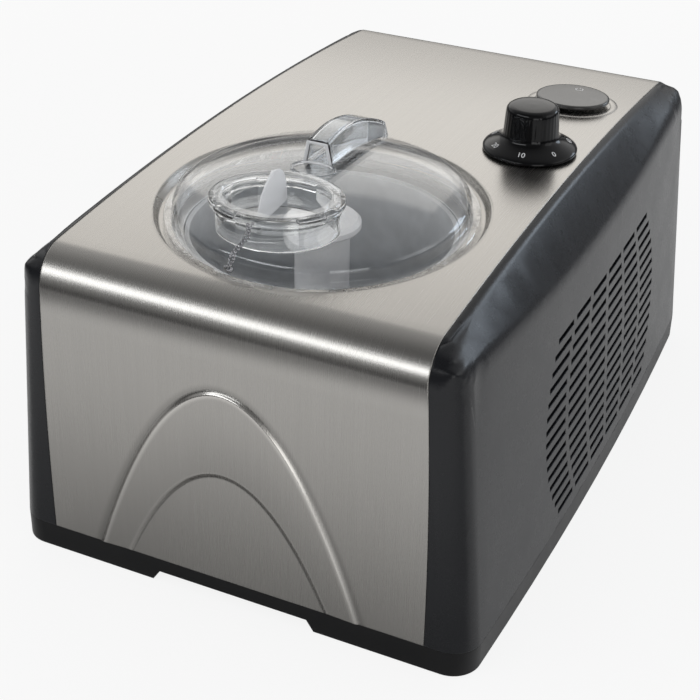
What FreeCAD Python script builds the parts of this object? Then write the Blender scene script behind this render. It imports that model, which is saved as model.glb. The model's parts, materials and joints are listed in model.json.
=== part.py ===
"""Countertop ice cream maker with a built-in compressor, modelled as separate pieces in millimetres.

The origin is on the table under the middle of the machine.
+X is to the user's right, -Y is the front, +Z is up.
"""
import FreeCAD, Part
import math
import os

V = FreeCAD.Vector
X_AXIS = V(1, 0, 0)
Y_AXIS = V(0, 1, 0)
Z_AXIS = V(0, 0, 1)

# Casing
LENGTH = 405.0
WIDTH = 285.0
TOP_PEAK = 196.0
TOP_PEAK_Y = -22.7
TOP_RADIUS = 2036.0
FRONT_BEND = 20.0
REAR_BEND = 16.0
SIDE_BOW = 5.4
SIDE_LEAN = 0.088
CREST_X = 110.0
SHOULDER_MID_Z = 165.0
SHOULDER_END_Z = 178.0
SHOULDER_TOP_R = 6.0
SHOULDER_LOW_R = 20.0
CORNER_R = 16.0
PANEL_WALL = 3.0
SHEET = 1.0
SEAM_Z = 16.3
STEEL_HALF_TOP = 107.0
STEEL_HALF_LOW = 112.0
STEEL_FLARE_Z = 75.0
TRIM_GAP = 0.3
CUT_LOW = 6.0
STEEL_RETURN_Z = 150.0

# Front arch pressing, one raised band between two arches
ARCH_LIFT = 1.2
ARCH_FOOT_Z = 24.0
ARCH_CENTRE_X = -3.0
ARCH_OUTER = (76.0, 112.0)
ARCH_INNER = (56.0, 61.0)

# Base
BASE_LOW = 1.0
BASE_FLOOR_LOW = 7.5
BASE_FLOOR = 10.5
BASE_WALL = 4.0
SKIRT_GAP_HALF = 45.0
SKIRT_GAP_SLOPE = 5.0
FOOT_R = 11.0
FOOT_X = 105.0
FOOT_Y = 168.0
FOOT_H = 4.0

# Vents on both sides
VENT_Y = 10.0
VENT_Z = 80.0
VENT_HALF_Y = 108.0
VENT_HALF_Z = 95.0
VENT_ROWS = 15
VENT_PITCH = 7.8
VENT_SLOT = 3.4
VENT_RIB = 5.0
VENT_COLUMNS = 6

# Bowl axis, lid seat and lid
BOWL_Y = -94.0
SEAT_TILT = 2.1
SEAT_Z = 189.4
SEAT_TOP_R = 92.0
SEAT_LOW_R = 87.0
SEAT_HOLE_R = 80.0
LID_R = 84.5
LID_FLANGE = 3.0
LID_WALL_R = 79.5
LID_WALL_TOP = 11.5
LID_APEX = 26.0
LID_T = 2.0
LID_SKIRT_R = 79.3
LID_SKIRT = 4.0
CHUTE_X = -5.5
CHUTE_Y = -40.6
CHUTE_TURN = 12.0
CHUTE_A = 32.4
CHUTE_B = 25.7
CHUTE_WALL = 3.0
CHUTE_LOW = 9.0
CHUTE_TOP = 27.5
CHUTE_LIP = 3.0
CAP_GAP = 0.4
CAP_WALL = 1.5
CAP_FLOOR = 17.0
CAP_FLANGE_UP = 1.6
FIN_T = 3.0
FIN_HALF = 19.0
FIN_TALL = 21.5
HANDLE_X = -5.0
HANDLE_FRONT = 4.5
HANDLE_BACK = 79.0
HANDLE_LOW_HALF = 8.5
HANDLE_TOP_HALF = 6.0
HANDLE_FRONT_TOP = 38.0
HANDLE_PEAK = 39.0
HANDLE_BACK_TOP = 20.5
HANDLE_WALL = 2.5
CHAIN_R = 1.2

# Chilling well, bowl and paddle
POT_R = 74.0
POT_T = 2.0
POT_LOW = 60.0
POT_TOP = 181.0
POT_FLANGE_R = 84.0
JACKET_GAP = 0.3
JACKET_R = 80.0
FOAM_R = 98.0
FOAM_LOW = 56.0
FOAM_TOP = 178.0
BOWL_R = 72.5
BOWL_T = 1.5
BOWL_LOW = 62.5
BOWL_TOP = 180.0
CHIMNEY_R = 9.0
CHIMNEY_TOP = 90.0
HUB_R = 15.0
HUB_LOW = 66.0
HUB_TOP = 181.0
HUB_DISC_R = 21.0
HUB_DISC_H = 6.0
BLADE_R = 68.5
BLADE_T = 4.0

# Drive train
SHAFT_R = 5.0
FIT = 0.05
MODULE = 1.5
OUTPUT_TEETH = 48
IDLER_TEETH = 56
PINION_TEETH = 12
GEAR_Z = 28.0
GEAR_W = 10.0
IDLER_Y = BOWL_Y + MODULE * (OUTPUT_TEETH + IDLER_TEETH) / 2
MOTOR_Y = IDLER_Y + MODULE * (IDLER_TEETH + PINION_TEETH) / 2
BOX_HALF_X = 50.0
BOX_TOP = 52.0
BOX_WALL = 2.5
COVER_T = 2.0
MOTOR_R = 28.0
MOTOR_H = 58.0

# Cooling plant
COMPRESSOR = V(-55, 125, 0)
COMPRESSOR_R = 48.0
COMPRESSOR_LOW = 24.0
COMPRESSOR_TOP = 130.0
FAN = V(92, 60, 80)
FAN_R = 44.0
FAN_BLADES = 7

# Controls
KNOB = V(75, 22.7, 0)
KNOB_SKIRT_R = 27.0
KNOB_R = 15.0
KNOB_TALL = 27.0
TIMER_SHAFT_R = 3.0
BUTTON = V(72, 111.5, 0)
BUTTON_R = 22.6
BUTTON_PROUD = 5.0
BUTTON_T = 2.6
SWITCH_DROP = 14.6
BEZEL_R = 28.0
PLATE_Z = 178.0
PLATE_T = 1.5


def top_z(y):
    """Height of the arched steel top at a distance y along the machine."""
    return TOP_PEAK - TOP_RADIUS + math.sqrt(TOP_RADIUS ** 2 - (y - TOP_PEAK_Y) ** 2)


def top_lean(y):
    """Lean of the top's normal towards +Y, in degrees."""
    return math.degrees(math.asin((y - TOP_PEAK_Y) / TOP_RADIUS))


def cyl(r, z0, z1, x=0.0, y=0.0):
    """Upright cylinder from z0 to z1."""
    return Part.makeCylinder(r, z1 - z0, V(x, y, z0))


def tube(r_out, r_in, z0, z1, x=0.0, y=0.0):
    """Upright ring from z0 to z1."""
    return cyl(r_out, z0, z1, x, y).cut(cyl(r_in, z0 - 1, z1 + 1, x, y))


def box(x0, x1, y0, y1, z0, z1):
    """Box between two corners."""
    return Part.makeBox(x1 - x0, y1 - y0, z1 - z0, V(x0, y0, z0))


def mirrored(shape):
    """Copy on the other side of the machine's middle plane."""
    return shape.mirror(V(0, 0, 0), X_AXIS)


def revolve(points):
    """Solid of revolution about Z from a closed outline of (radius, height) points."""
    wire = Part.makePolygon([V(r, 0, z) for r, z in points] + [V(points[0][0], 0, points[0][1])])
    return Part.Face(wire).revolve(V(0, 0, 0), Z_AXIS, 360)


def rounded(shape, radius, chosen):
    """Fillet the edges that the test chosen(edge) accepts."""
    return shape.makeFillet(radius, [e for e in shape.Edges if chosen(e)])


def bent_tube(points, radius, bend):
    """Round tube along straight runs joined by tangent arcs."""
    edges = []
    start = points[0]
    for before, corner, after in zip(points, points[1:], points[2:]):
        u = (before - corner).normalize()
        w = (after - corner).normalize()
        half = u.getAngle(w) / 2
        reach = bend / math.tan(half)
        a = corner + u * reach
        b = corner + w * reach
        middle = (u + w).normalize()
        top = corner + middle * (bend / math.sin(half) - bend)
        edges.append(Part.LineSegment(start, a).toShape())
        edges.append(Part.Arc(a, top, b).toShape())
        start = b
    edges.append(Part.LineSegment(start, points[-1]).toShape())
    path = Part.Wire(edges)
    ring = Part.Wire([Part.Circle(points[0], points[1] - points[0], radius).toShape()])
    return path.makePipeShell([ring], True, False)


def side_outline(off):
    """Points of the casing seen from the side: bends and top arc, moved inwards by off."""
    big = V(0, TOP_PEAK_Y, TOP_PEAK - TOP_RADIUS)

    def bend(y_wall, radius, outward):
        centre_y = y_wall - outward * radius
        span = TOP_RADIUS - radius
        centre = V(0, centre_y, big.z + math.sqrt(span ** 2 - (centre_y - TOP_PEAK_Y) ** 2))
        up = (centre - big).normalize()
        wall = V(0, outward, 0)
        r = radius - off
        return centre + wall * r, centre + (wall + up).normalize() * r, centre + up * r

    front = bend(-LENGTH / 2, FRONT_BEND, -1)
    rear = bend(LENGTH / 2, REAR_BEND, 1)
    crown = V(0, TOP_PEAK_Y, TOP_PEAK - off)
    return front, crown, rear


def outline_edges(off):
    """Edges over the casing from the front bend's foot to the rear bend's foot."""
    front, crown, rear = side_outline(off)
    return [
        Part.Arc(*front).toShape(),
        Part.Arc(front[2], crown, rear[2]).toShape(),
        Part.Arc(rear[2], rear[1], rear[0]).toShape(),
    ]


def side_prism(off):
    """Block with the casing's side view, wider than the machine."""
    front, _, rear = side_outline(off)
    edges = outline_edges(off)
    low_front = V(0, front[0].y, SEAM_Z)
    low_rear = V(0, rear[0].y, SEAM_Z)
    edges.append(Part.LineSegment(rear[0], low_rear).toShape())
    edges.append(Part.LineSegment(low_rear, low_front).toShape())
    edges.append(Part.LineSegment(low_front, front[0]).toShape())
    face = Part.Face(Part.Wire(edges))
    face.translate(V(-WIDTH, 0, 0))
    return face.extrude(V(2 * WIDTH, 0, 0))


def top_prism(off):
    """Block under the top's arc, from the middle plane to past the right-hand side."""
    r = TOP_RADIUS - off
    reach = LENGTH / 2 + 30

    def at(y):
        return V(0, y, TOP_PEAK - TOP_RADIUS + math.sqrt(r ** 2 - (y - TOP_PEAK_Y) ** 2))

    edges = [
        Part.Arc(at(-reach), at(0.0), at(reach)).toShape(),
        Part.LineSegment(at(reach), V(0, reach, 0)).toShape(),
        Part.LineSegment(V(0, reach, 0), V(0, -reach, 0)).toShape(),
        Part.LineSegment(V(0, -reach, 0), at(-reach)).toShape(),
    ]
    return Part.Face(Part.Wire(edges)).extrude(V(2 * WIDTH, 0, 0))


def side_half_width(y, z):
    """Distance of the bowed, leaning side wall from the middle plane."""
    return WIDTH / 2 - SIDE_BOW * (y / (LENGTH / 2)) ** 2 - SIDE_LEAN * (z - SEAM_Z)


def side_section(y, off):
    """Cross-section of the right half at y: side wall, then a shoulder that runs on past the top."""
    along = (y / (LENGTH / 2)) ** 2
    foot_z = SHOULDER_MID_Z + (SHOULDER_END_Z - SHOULDER_MID_Z) * along
    foot = V(side_half_width(y, foot_z) - off, y, foot_z - 0.55 * off)
    crest = V(CREST_X - 0.55 * off, y, top_z(y) - off)
    past = crest + (crest - foot) * 0.6
    low = V(side_half_width(y, SEAM_Z) - off, y, SEAM_Z)
    middle_low = V(0, y, SEAM_Z)
    return Part.makePolygon([middle_low, low, foot, past, V(0, y, past.z), middle_low])


def shouldered_half(off):
    """Right half of a block with a bowed leaning side, an arched top and a shoulder widest at mid-length."""
    reach = LENGTH / 2 + 15
    stations = [-reach, -reach / 2, 0.0, reach / 2, reach]
    block = Part.makeLoft([side_section(y, off) for y in stations], True, False)
    block = block.common(top_prism(off)).Solids[0]

    def ridges(shape, low, high):
        def chosen(e):
            c = e.CenterOfMass
            return e.Length > LENGTH and c.x > 80 and low < c.z < high

        return [e for e in shape.Edges if chosen(e)]

    knee = (top_z(0) + SHOULDER_END_Z) / 2 - off
    soft = block.makeFillet(SHOULDER_LOW_R, ridges(block, TOP_PEAK / 2, knee))
    return soft.makeFillet(SHOULDER_TOP_R, ridges(soft, knee, 2 * TOP_PEAK))


def corner_cutter(end, off, x_low, lean, bow):
    """Leaning cutter that rounds one upright corner on the right; x_low is the side's place at CUT_LOW."""
    r = CORNER_R - off
    turn = math.atan(bow)
    y_wall = LENGTH / 2 - off
    centre = V(x_low - r / math.cos(turn) + bow * r, y_wall - r, CUT_LOW)

    def on_arc(angle):
        return centre + V(r * math.cos(angle), r * math.sin(angle), 0)

    side_touch = on_arc(turn)
    end_touch = on_arc(math.pi / 2)
    reach = 20
    out_end = V(end_touch.x, y_wall + reach, CUT_LOW)
    out_corner = V(x_low + reach, y_wall + reach, CUT_LOW)
    out_side = V(x_low + reach, side_touch.y, CUT_LOW)
    edges = [
        Part.Arc(side_touch, on_arc((turn + math.pi / 2) / 2), end_touch).toShape(),
        Part.LineSegment(end_touch, out_end).toShape(),
        Part.LineSegment(out_end, out_corner).toShape(),
        Part.LineSegment(out_corner, out_side).toShape(),
        Part.LineSegment(out_side, side_touch).toShape(),
    ]
    tall = TOP_PEAK + 20 - CUT_LOW
    cutter = Part.Face(Part.Wire(edges)).extrude(V(-lean * tall, 0, tall))
    return cutter if end > 0 else cutter.mirror(V(0, 0, 0), Y_AXIS)


def corner_cutters(off):
    """Cutters for the front and rear upright corners on the right."""
    x_low = side_half_width(LENGTH / 2, CUT_LOW) - off
    bow = 2 * SIDE_BOW / (LENGTH / 2)
    return [corner_cutter(end, off, x_low, SIDE_LEAN, bow) for end in (-1, 1)]


def casing_half(off):
    """Right half of the casing's form, moved inwards by off."""
    form = shouldered_half(off).common(side_prism(off))
    for cutter in corner_cutters(off):
        form = form.cut(cutter)
    return form


def steel_view(extra, y0, y1):
    """Front view of the steel sheet, flared towards its foot, as a block from y0 to y1."""
    top = STEEL_HALF_TOP + extra
    low = STEEL_HALF_LOW + extra
    knee = FRONT_BEND_FOOT + 5
    high = TOP_PEAK + 30
    right_low = V(low, y0, SEAM_Z - 5)
    right_mid = V(low - 0.6, y0, STEEL_FLARE_Z)
    right_knee = V(top, y0, knee)
    left_low, left_mid, left_knee = [V(-p.x, p.y, p.z) for p in (right_low, right_mid, right_knee)]
    edges = [
        Part.Arc(right_low, right_mid, right_knee).toShape(),
        Part.LineSegment(right_knee, V(top, y0, high)).toShape(),
        Part.LineSegment(V(top, y0, high), V(-top, y0, high)).toShape(),
        Part.LineSegment(V(-top, y0, high), left_knee).toShape(),
        Part.Arc(left_knee, left_mid, left_low).toShape(),
        Part.LineSegment(left_low, right_low).toShape(),
    ]
    return Part.Face(Part.Wire(edges)).extrude(V(0, y1 - y0, 0))


FRONT_BEND_FOOT = side_outline(0.0)[0][0].z


def seated(shape):
    """Place a shape from the lid seat's own frame into the machine's frame."""
    shape.Placement = FreeCAD.Placement(V(0, BOWL_Y, SEAT_Z), FreeCAD.Rotation(X_AXIS, SEAT_TILT))
    return shape


def on_top(shape, spot, lift=0.0):
    """Place a shape square on the arched top at the plan position spot."""
    turn = FreeCAD.Rotation(X_AXIS, -top_lean(spot.y))
    shape.Placement = FreeCAD.Placement(V(spot.x, spot.y, top_z(spot.y) + lift), turn)
    return shape


def arch_prism(half_and_tall, depth):
    """Parabolic arch block that stands on the front sheet."""
    half, tall = half_and_tall
    curve = Part.BezierCurve()
    curve.setPoles([V(-half, 0, 0), V(0, 0, 2 * tall), V(half, 0, 0)])
    foot = Part.LineSegment(V(half, 0, 0), V(-half, 0, 0))
    face = Part.Face(Part.Wire([curve.toShape(), foot.toShape()]))
    face.translate(V(ARCH_CENTRE_X, -LENGTH / 2 + SHEET / 2, ARCH_FOOT_Z))
    return face.extrude(V(0, -depth, 0))


def steel_wrap():
    """Front and top sheet in one piece, with the lid seat, the arch pressing and the control holes."""
    front_o, _, rear_o = side_outline(0.0)
    front_i, _, rear_i = side_outline(SHEET)
    outer = outline_edges(0.0)
    inner = outline_edges(SHEET)
    foot_o = V(0, front_o[0].y, SEAM_Z)
    foot_i = V(0, front_i[0].y, SEAM_Z)
    end_o = V(0, rear_o[0].y, STEEL_RETURN_Z)
    end_i = V(0, rear_i[0].y, STEEL_RETURN_Z)
    edges = [Part.LineSegment(foot_o, front_o[0]).toShape()] + outer
    edges += [
        Part.LineSegment(rear_o[0], end_o).toShape(),
        Part.LineSegment(end_o, end_i).toShape(),
        Part.LineSegment(end_i, rear_i[0]).toShape(),
    ]
    edges += inner
    edges += [
        Part.LineSegment(front_i[0], foot_i).toShape(),
        Part.LineSegment(foot_i, foot_o).toShape(),
    ]
    profile = Part.Face(Part.Wire(Part.__sortEdges__(edges)))
    profile.translate(V(-WIDTH / 2, 0, 0))
    sheet = profile.extrude(V(WIDTH, 0, 0)).common(steel_view(0.0, -LENGTH, LENGTH))
    well = revolve([(0, 0.0), (SEAT_LOW_R, 0.0), (SEAT_TOP_R, 9.0), (SEAT_TOP_R + 8, 24.0), (0, 24.0)])
    seat = revolve([
        (SEAT_HOLE_R, -SHEET), (SEAT_LOW_R + 0.6, -SHEET), (SEAT_TOP_R + 1.2, 9.0),
        (SEAT_TOP_R, 9.0), (SEAT_LOW_R, 0.0), (SEAT_HOLE_R, 0.0),
    ])
    seat = seated(seat).common(side_prism(0.0))
    sheet = sheet.cut(seated(well)).fuse(seat)
    band = arch_prism(ARCH_OUTER, ARCH_LIFT).cut(arch_prism(ARCH_INNER, 2 * ARCH_LIFT))
    sheet = sheet.fuse(band)
    holes = [cyl(TIMER_SHAFT_R + 1.0, 150, 250, KNOB.x, KNOB.y)]
    holes.append(on_top(cyl(8.0, -30, 30), BUTTON))
    return sheet.cut(Part.makeCompound(holes)).removeSplitter()


def vent_slots():
    """Slots of the right-hand vent: level rows cut into columns by bowed ribs."""
    slots = []
    first = VENT_Z - VENT_PITCH * (VENT_ROWS - 1) / 2
    for row in range(VENT_ROWS):
        z = first + row * VENT_PITCH
        spread = VENT_HALF_Y * math.sqrt(1 - ((z - VENT_Z) / VENT_HALF_Z) ** 2)
        for column in range(VENT_COLUMNS):
            y0 = VENT_Y + spread * (2 * column / VENT_COLUMNS - 1) + VENT_RIB / 2
            y1 = VENT_Y + spread * (2 * (column + 1) / VENT_COLUMNS - 1) - VENT_RIB / 2
            slots.append(box(100, WIDTH, y0, y1, z - VENT_SLOT / 2, z + VENT_SLOT / 2))
    return Part.makeCompound(slots)


def side_panel():
    """Right-hand panel: a moulded shell with front and rear returns and a vent."""
    shell = casing_half(0.0).cut(casing_half(PANEL_WALL))
    shell = shell.cut(steel_view(TRIM_GAP, -LENGTH, LENGTH))
    return shell.cut(vent_slots())


def base_block(off, z0, z1):
    """Base outline with rounded corners as a block."""
    y_wall = LENGTH / 2 - off
    end = WIDTH / 2 - SIDE_BOW - off
    edges = [
        Part.Arc(V(end, -y_wall, z0), V(WIDTH / 2 - off, 0, z0), V(end, y_wall, z0)).toShape(),
        Part.LineSegment(V(end, y_wall, z0), V(-end, y_wall, z0)).toShape(),
        Part.Arc(V(-end, y_wall, z0), V(-WIDTH / 2 + off, 0, z0), V(-end, -y_wall, z0)).toShape(),
        Part.LineSegment(V(-end, -y_wall, z0), V(end, -y_wall, z0)).toShape(),
    ]
    block = Part.Face(Part.Wire(edges)).extrude(V(0, 0, z1 - z0))
    return rounded(block, CORNER_R - off, lambda e: e.Length < z1 - z0 + 0.01 and abs(e.CenterOfMass.x) > 100)


def foot_spots():
    """Plan positions of the four feet."""
    return [(sx * FOOT_X, sy * FOOT_Y) for sx in (-1, 1) for sy in (-1, 1)]


def screw_spots():
    """Plan positions of the screws that hold the side panels to the base."""
    return [(sx * 127, y) for sx in (-1, 1) for y in (-120, 0, 120)]


def base_tray():
    """Base moulding: a floor in a skirt, bosses under it, and a raised skirt at the front and rear."""
    tray = base_block(0.0, BASE_LOW, SEAM_Z).cut(base_block(BASE_WALL, BASE_FLOOR, SEAM_Z + 1))
    tray = tray.cut(base_block(BASE_WALL, BASE_LOW - 1, BASE_FLOOR_LOW))
    bosses = [cyl(FOOT_R + 4, BASE_LOW, BASE_FLOOR_LOW + 1, x, y) for x, y in foot_spots()]
    bosses += [cyl(6, BASE_LOW, BASE_FLOOR_LOW + 1, x, y) for x, y in screw_spots()]
    tray = tray.fuse(bosses)
    gap = SKIRT_GAP_HALF
    wide = gap + SKIRT_GAP_SLOPE
    arch = Part.Face(Part.makePolygon([
        V(-wide, -LENGTH, BASE_LOW - 1), V(wide, -LENGTH, BASE_LOW - 1), V(gap, -LENGTH, BASE_FLOOR_LOW),
        V(-gap, -LENGTH, BASE_FLOOR_LOW), V(-wide, -LENGTH, BASE_LOW - 1),
    ])).extrude(V(0, 2 * LENGTH, 0))
    pockets = [cyl(FOOT_R, 0, FOOT_H, x, y) for x, y in foot_spots()]
    pockets += [cyl(3.8, 0, BASE_LOW + 2.2, x, y) for x, y in screw_spots()]
    return tray.cut(arch).cut(Part.makeCompound(pockets)).removeSplitter()


def foot_pads():
    """Four rubber feet."""
    pads = []
    for x, y in foot_spots():
        pad = cyl(FOOT_R - 0.1, 0, FOOT_H, x, y)
        pads.append(rounded(pad, 0.8, lambda e: e.CenterOfMass.z < 0.01 and e.Length > FOOT_R))
    return Part.makeCompound(pads)


REAR_FACE = LENGTH / 2 - 3.0
REAR_TOP = STEEL_RETURN_Z - 0.3
GLAND = V(-70, 0, 38)
GLAND_PROUD = 3.0 + ARCH_LIFT - SHEET / 2
REAR_SCREWS = [(-95, 30), (95, 30), (-95, 138), (95, 138)]


def rear_panel():
    """Rear cover with level vent slots and the mains lead's hole."""
    plate = steel_view(0.0, REAR_FACE - PANEL_WALL, REAR_FACE)
    plate = plate.common(box(-WIDTH, WIDTH, 0, LENGTH, SEAM_Z, REAR_TOP))
    cuts = [box(-5, 85, 0, LENGTH, z - 1.7, z + 1.7) for z in range(46, 126, 8)]
    hole = Part.makeCylinder(6.5, 20, V(GLAND.x, REAR_FACE - 10, GLAND.z), Y_AXIS)
    cuts.append(hole)
    for x, z in REAR_SCREWS:
        cuts.append(Part.makeCylinder(1.8, 20, V(x, REAR_FACE - 10, z), Y_AXIS))
    return plate.cut(Part.makeCompound(cuts))


def rear_screws():
    """Pan-head screws of the rear cover."""
    screws = []
    for x, z in REAR_SCREWS:
        head = Part.makeCylinder(3.6, 1.8, V(x, REAR_FACE, z), Y_AXIS)
        shank = Part.makeCylinder(1.7, 9, V(x, REAR_FACE - 9, z), Y_AXIS)
        slot = box(x - 2.4, x + 2.4, REAR_FACE + 0.9, LENGTH, z - 0.4, z + 0.4)
        screws.append(head.fuse(shank).cut(slot).cut(slot.rotated(V(x, 0, z), Y_AXIS, 90)))
    return Part.makeCompound(screws)


def cord_gland():
    """Moulded bush in the rear cover that the mains lead comes out of."""
    y = REAR_FACE
    flange = Part.makeCylinder(9.5, GLAND_PROUD, V(GLAND.x, y, GLAND.z), Y_AXIS)
    neck = Part.makeCylinder(6.4, 12, V(GLAND.x, y - 12, GLAND.z), Y_AXIS)
    bore = Part.makeCylinder(3.6, 40, V(GLAND.x, y - 20, GLAND.z), Y_AXIS)
    return flange.fuse(neck).cut(bore)


def base_screws():
    """Screws that hold the side panels to the base, heads sunk in the bosses."""
    screws = []
    for x, y in screw_spots():
        head = cyl(3.5, BASE_LOW + 0.4, BASE_LOW + 2.2, x, y)
        slot = box(x - 2.4, x + 2.4, y - 0.4, y + 0.4, BASE_LOW, BASE_LOW + 1.2)
        screws.append(head.cut(slot).cut(slot.rotated(V(x, y, 0), Z_AXIS, 90)))
    return Part.makeCompound(screws)


def chilling_pot():
    """Aluminium well that the bowl stands in, with a hole for the shaft bush."""
    wall = revolve([
        (9.0, POT_LOW), (POT_R + POT_T, POT_LOW), (POT_R + POT_T, POT_TOP - POT_T),
        (POT_FLANGE_R, POT_TOP - POT_T),
        (POT_FLANGE_R, POT_TOP), (POT_R, POT_TOP), (POT_R, POT_LOW + POT_T), (9.0, POT_LOW + POT_T),
    ])
    wall.translate(V(0, BOWL_Y, 0))
    return wall


def evaporator_jacket():
    """Plate evaporator wrapped round the well."""
    return tube(JACKET_R, POT_R + POT_T + JACKET_GAP, POT_LOW + 6, POT_TOP - 12, 0, BOWL_Y)


def insulation_jacket():
    """Foam round the evaporator, cut flat beside the front sheet."""
    foam = tube(FOAM_R, JACKET_R + JACKET_GAP, FOAM_LOW, FOAM_TOP, 0, BOWL_Y)
    ring = tube(JACKET_R + 1, 24, FOAM_LOW, POT_LOW - 0.2, 0, BOWL_Y)
    return foam.fuse(ring).removeSplitter()


def pot_seal():
    """Soft ring between the well's flange and the steel seat."""
    low = POT_TOP + 0.1
    return tube(POT_FLANGE_R - 0.2, SEAT_HOLE_R + 0.6, low, low + 3.5, 0, BOWL_Y)


def pot_bracket():
    """Plate on four posts that carries the well above the gearbox."""
    plate = box(-95, 95, BOWL_Y - 92, BOWL_Y + 94, FOAM_LOW - 2, FOAM_LOW)
    posts = [cyl(6, BASE_FLOOR, FOAM_LOW - 2, sx * 82, BOWL_Y + sy * 78) for sx in (-1, 1) for sy in (-1, 1)]
    hole = cyl(20, 0, 100, 0, BOWL_Y)
    return plate.fuse(posts).cut(hole)


def mixing_bowl():
    """Lift-out bowl with a rolled rim and a chimney round the drive shaft."""
    r_in = BOWL_R - BOWL_T
    floor = BOWL_LOW + BOWL_T
    bowl = revolve([
        (CHIMNEY_R - BOWL_T, BOWL_LOW), (BOWL_R - 6, BOWL_LOW), (BOWL_R, BOWL_LOW + 6),
        (BOWL_R, BOWL_TOP - 3),
        (BOWL_R + 1.2, BOWL_TOP - 2), (BOWL_R + 1.2, BOWL_TOP), (r_in, BOWL_TOP), (r_in, floor + 6),
        (r_in - 5.4, floor), (CHIMNEY_R, floor), (CHIMNEY_R, CHIMNEY_TOP), (CHIMNEY_R - BOWL_T, CHIMNEY_TOP),
    ])
    bowl.translate(V(0, BOWL_Y, 0))
    return bowl


def mixing_paddle():
    """Paddle with a tall hub, a grip disc and two framed blades."""
    hub = revolve([
        (CHIMNEY_R + 2, HUB_LOW), (HUB_R, HUB_LOW), (HUB_R, HUB_TOP), (HUB_DISC_R - 1, HUB_TOP),
        (HUB_DISC_R, HUB_TOP + 1), (HUB_DISC_R, HUB_TOP + HUB_DISC_H - 2),
        (HUB_DISC_R - 2, HUB_TOP + HUB_DISC_H),
        (0, HUB_TOP + HUB_DISC_H), (0, 121), (SHAFT_R + FIT, 121), (SHAFT_R + FIT, CHIMNEY_TOP + 4),
        (CHIMNEY_R + 2, CHIMNEY_TOP + 4),
    ])
    low = HUB_LOW + 1
    tall = 130
    frame = box(HUB_R - 2, BLADE_R, -BLADE_T / 2, BLADE_T / 2, low, tall)
    frame = frame.cut(box(HUB_R + 8, BLADE_R - 11, -BLADE_T, BLADE_T, low + 12, tall - 14))
    frame = rounded(frame, 6, lambda e: abs(e.CenterOfMass.x - BLADE_R) < 0.1 and e.Length < BLADE_T + 0.1)
    rib = box(HUB_R + 7, BLADE_R - 10, -BLADE_T / 2, BLADE_T / 2, 94, 100)
    blade = frame.fuse(rib)
    other = blade.rotated(V(0, 0, 0), Z_AXIS, 180)
    paddle = hub.fuse([blade, other])
    paddle.translate(V(0, BOWL_Y, 0))
    return paddle.removeSplitter()


def drive_shaft():
    """Steel shaft from the gearbox up into the paddle's hub."""
    return cyl(SHAFT_R, BASE_FLOOR + 5.5, 120.5, 0, BOWL_Y)


def shaft_bush():
    """Sealed bush where the shaft passes through the well's floor."""
    bush = revolve([
        (SHAFT_R + FIT, 55.0), (8.9, 55.0), (8.9, POT_LOW - 0.1), (8.9, POT_LOW + POT_T),
        (7.0, POT_LOW + POT_T + 0.2),
        (SHAFT_R + FIT, POT_LOW + POT_T + 0.2),
    ])
    bush.translate(V(0, BOWL_Y, 0))
    return bush


def gear(teeth, bore, first_gap, z0=GEAR_Z, width=GEAR_W):
    """Spur gear about Z; a tooth, or a gap when first_gap, points along +Y."""
    pitch = MODULE * teeth / 2
    tip = pitch + 0.9 * MODULE
    root = pitch - 1.2 * MODULE
    step = 2 * math.pi / teeth
    start = math.pi / 2 + (step / 2 if first_gap else 0)
    points = []
    for k in range(teeth):
        for angle, r in ((-0.34, root), (-0.12, tip), (0.12, tip), (0.34, root)):
            a = start + (k + angle) * step
            points.append(V(r * math.cos(a), r * math.sin(a), z0))
    points.append(points[0])
    blank = Part.Face(Part.makePolygon(points)).extrude(V(0, 0, width))
    return blank.cut(cyl(bore, z0 - 1, z0 + width + 1))


def output_gear():
    """Large gear on the drive shaft, with a hub above it."""
    collar = tube(10, SHAFT_R + 0.02, GEAR_Z + GEAR_W, GEAR_Z + 16)
    wheel = gear(OUTPUT_TEETH, SHAFT_R + 0.02, False).fuse(collar)
    wheel = wheel.removeSplitter()
    wheel.translate(V(0, BOWL_Y, 0))
    return wheel


def idler_gear():
    """Idler between the motor's pinion and the output gear, with a web thinned on top."""
    wheel = gear(IDLER_TEETH, 4 + FIT, True)
    wheel = wheel.cut(tube(34, 10, GEAR_Z + GEAR_W - 3, GEAR_Z + GEAR_W + 1))
    wheel.translate(V(0, IDLER_Y, 0))
    return wheel


def idler_pin():
    """Fixed pin of the idler gear."""
    return cyl(4, BASE_FLOOR + BOX_WALL, BOX_TOP, 0, IDLER_Y)


def motor_pinion():
    """Pinion on the motor's shaft."""
    wheel = gear(PINION_TEETH, 3.02, False)
    wheel.translate(V(0, MOTOR_Y, 0))
    return wheel


def motor_shaft():
    """Motor's own shaft."""
    return cyl(3.0, GEAR_Z - 4, BOX_TOP + COVER_T + 20, 0, MOTOR_Y)


def drive_motor():
    """Motor can with a bore for its shaft and a ribbed crown."""
    low = BOX_TOP + COVER_T
    can = cyl(MOTOR_R, low, low + MOTOR_H, 0, MOTOR_Y)
    can = rounded(can, 3, lambda e: e.CenterOfMass.z > low + MOTOR_H - 0.1 and e.Length > MOTOR_R)
    cap = cyl(10, low + MOTOR_H, low + MOTOR_H + 6, 0, MOTOR_Y)
    return can.fuse(cap).cut(cyl(3.0 + FIT, low - 1, low + 22, 0, MOTOR_Y))


GEARBOX_FRONT = BOWL_Y - 46
GEARBOX_REAR = MOTOR_Y + 22


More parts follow.
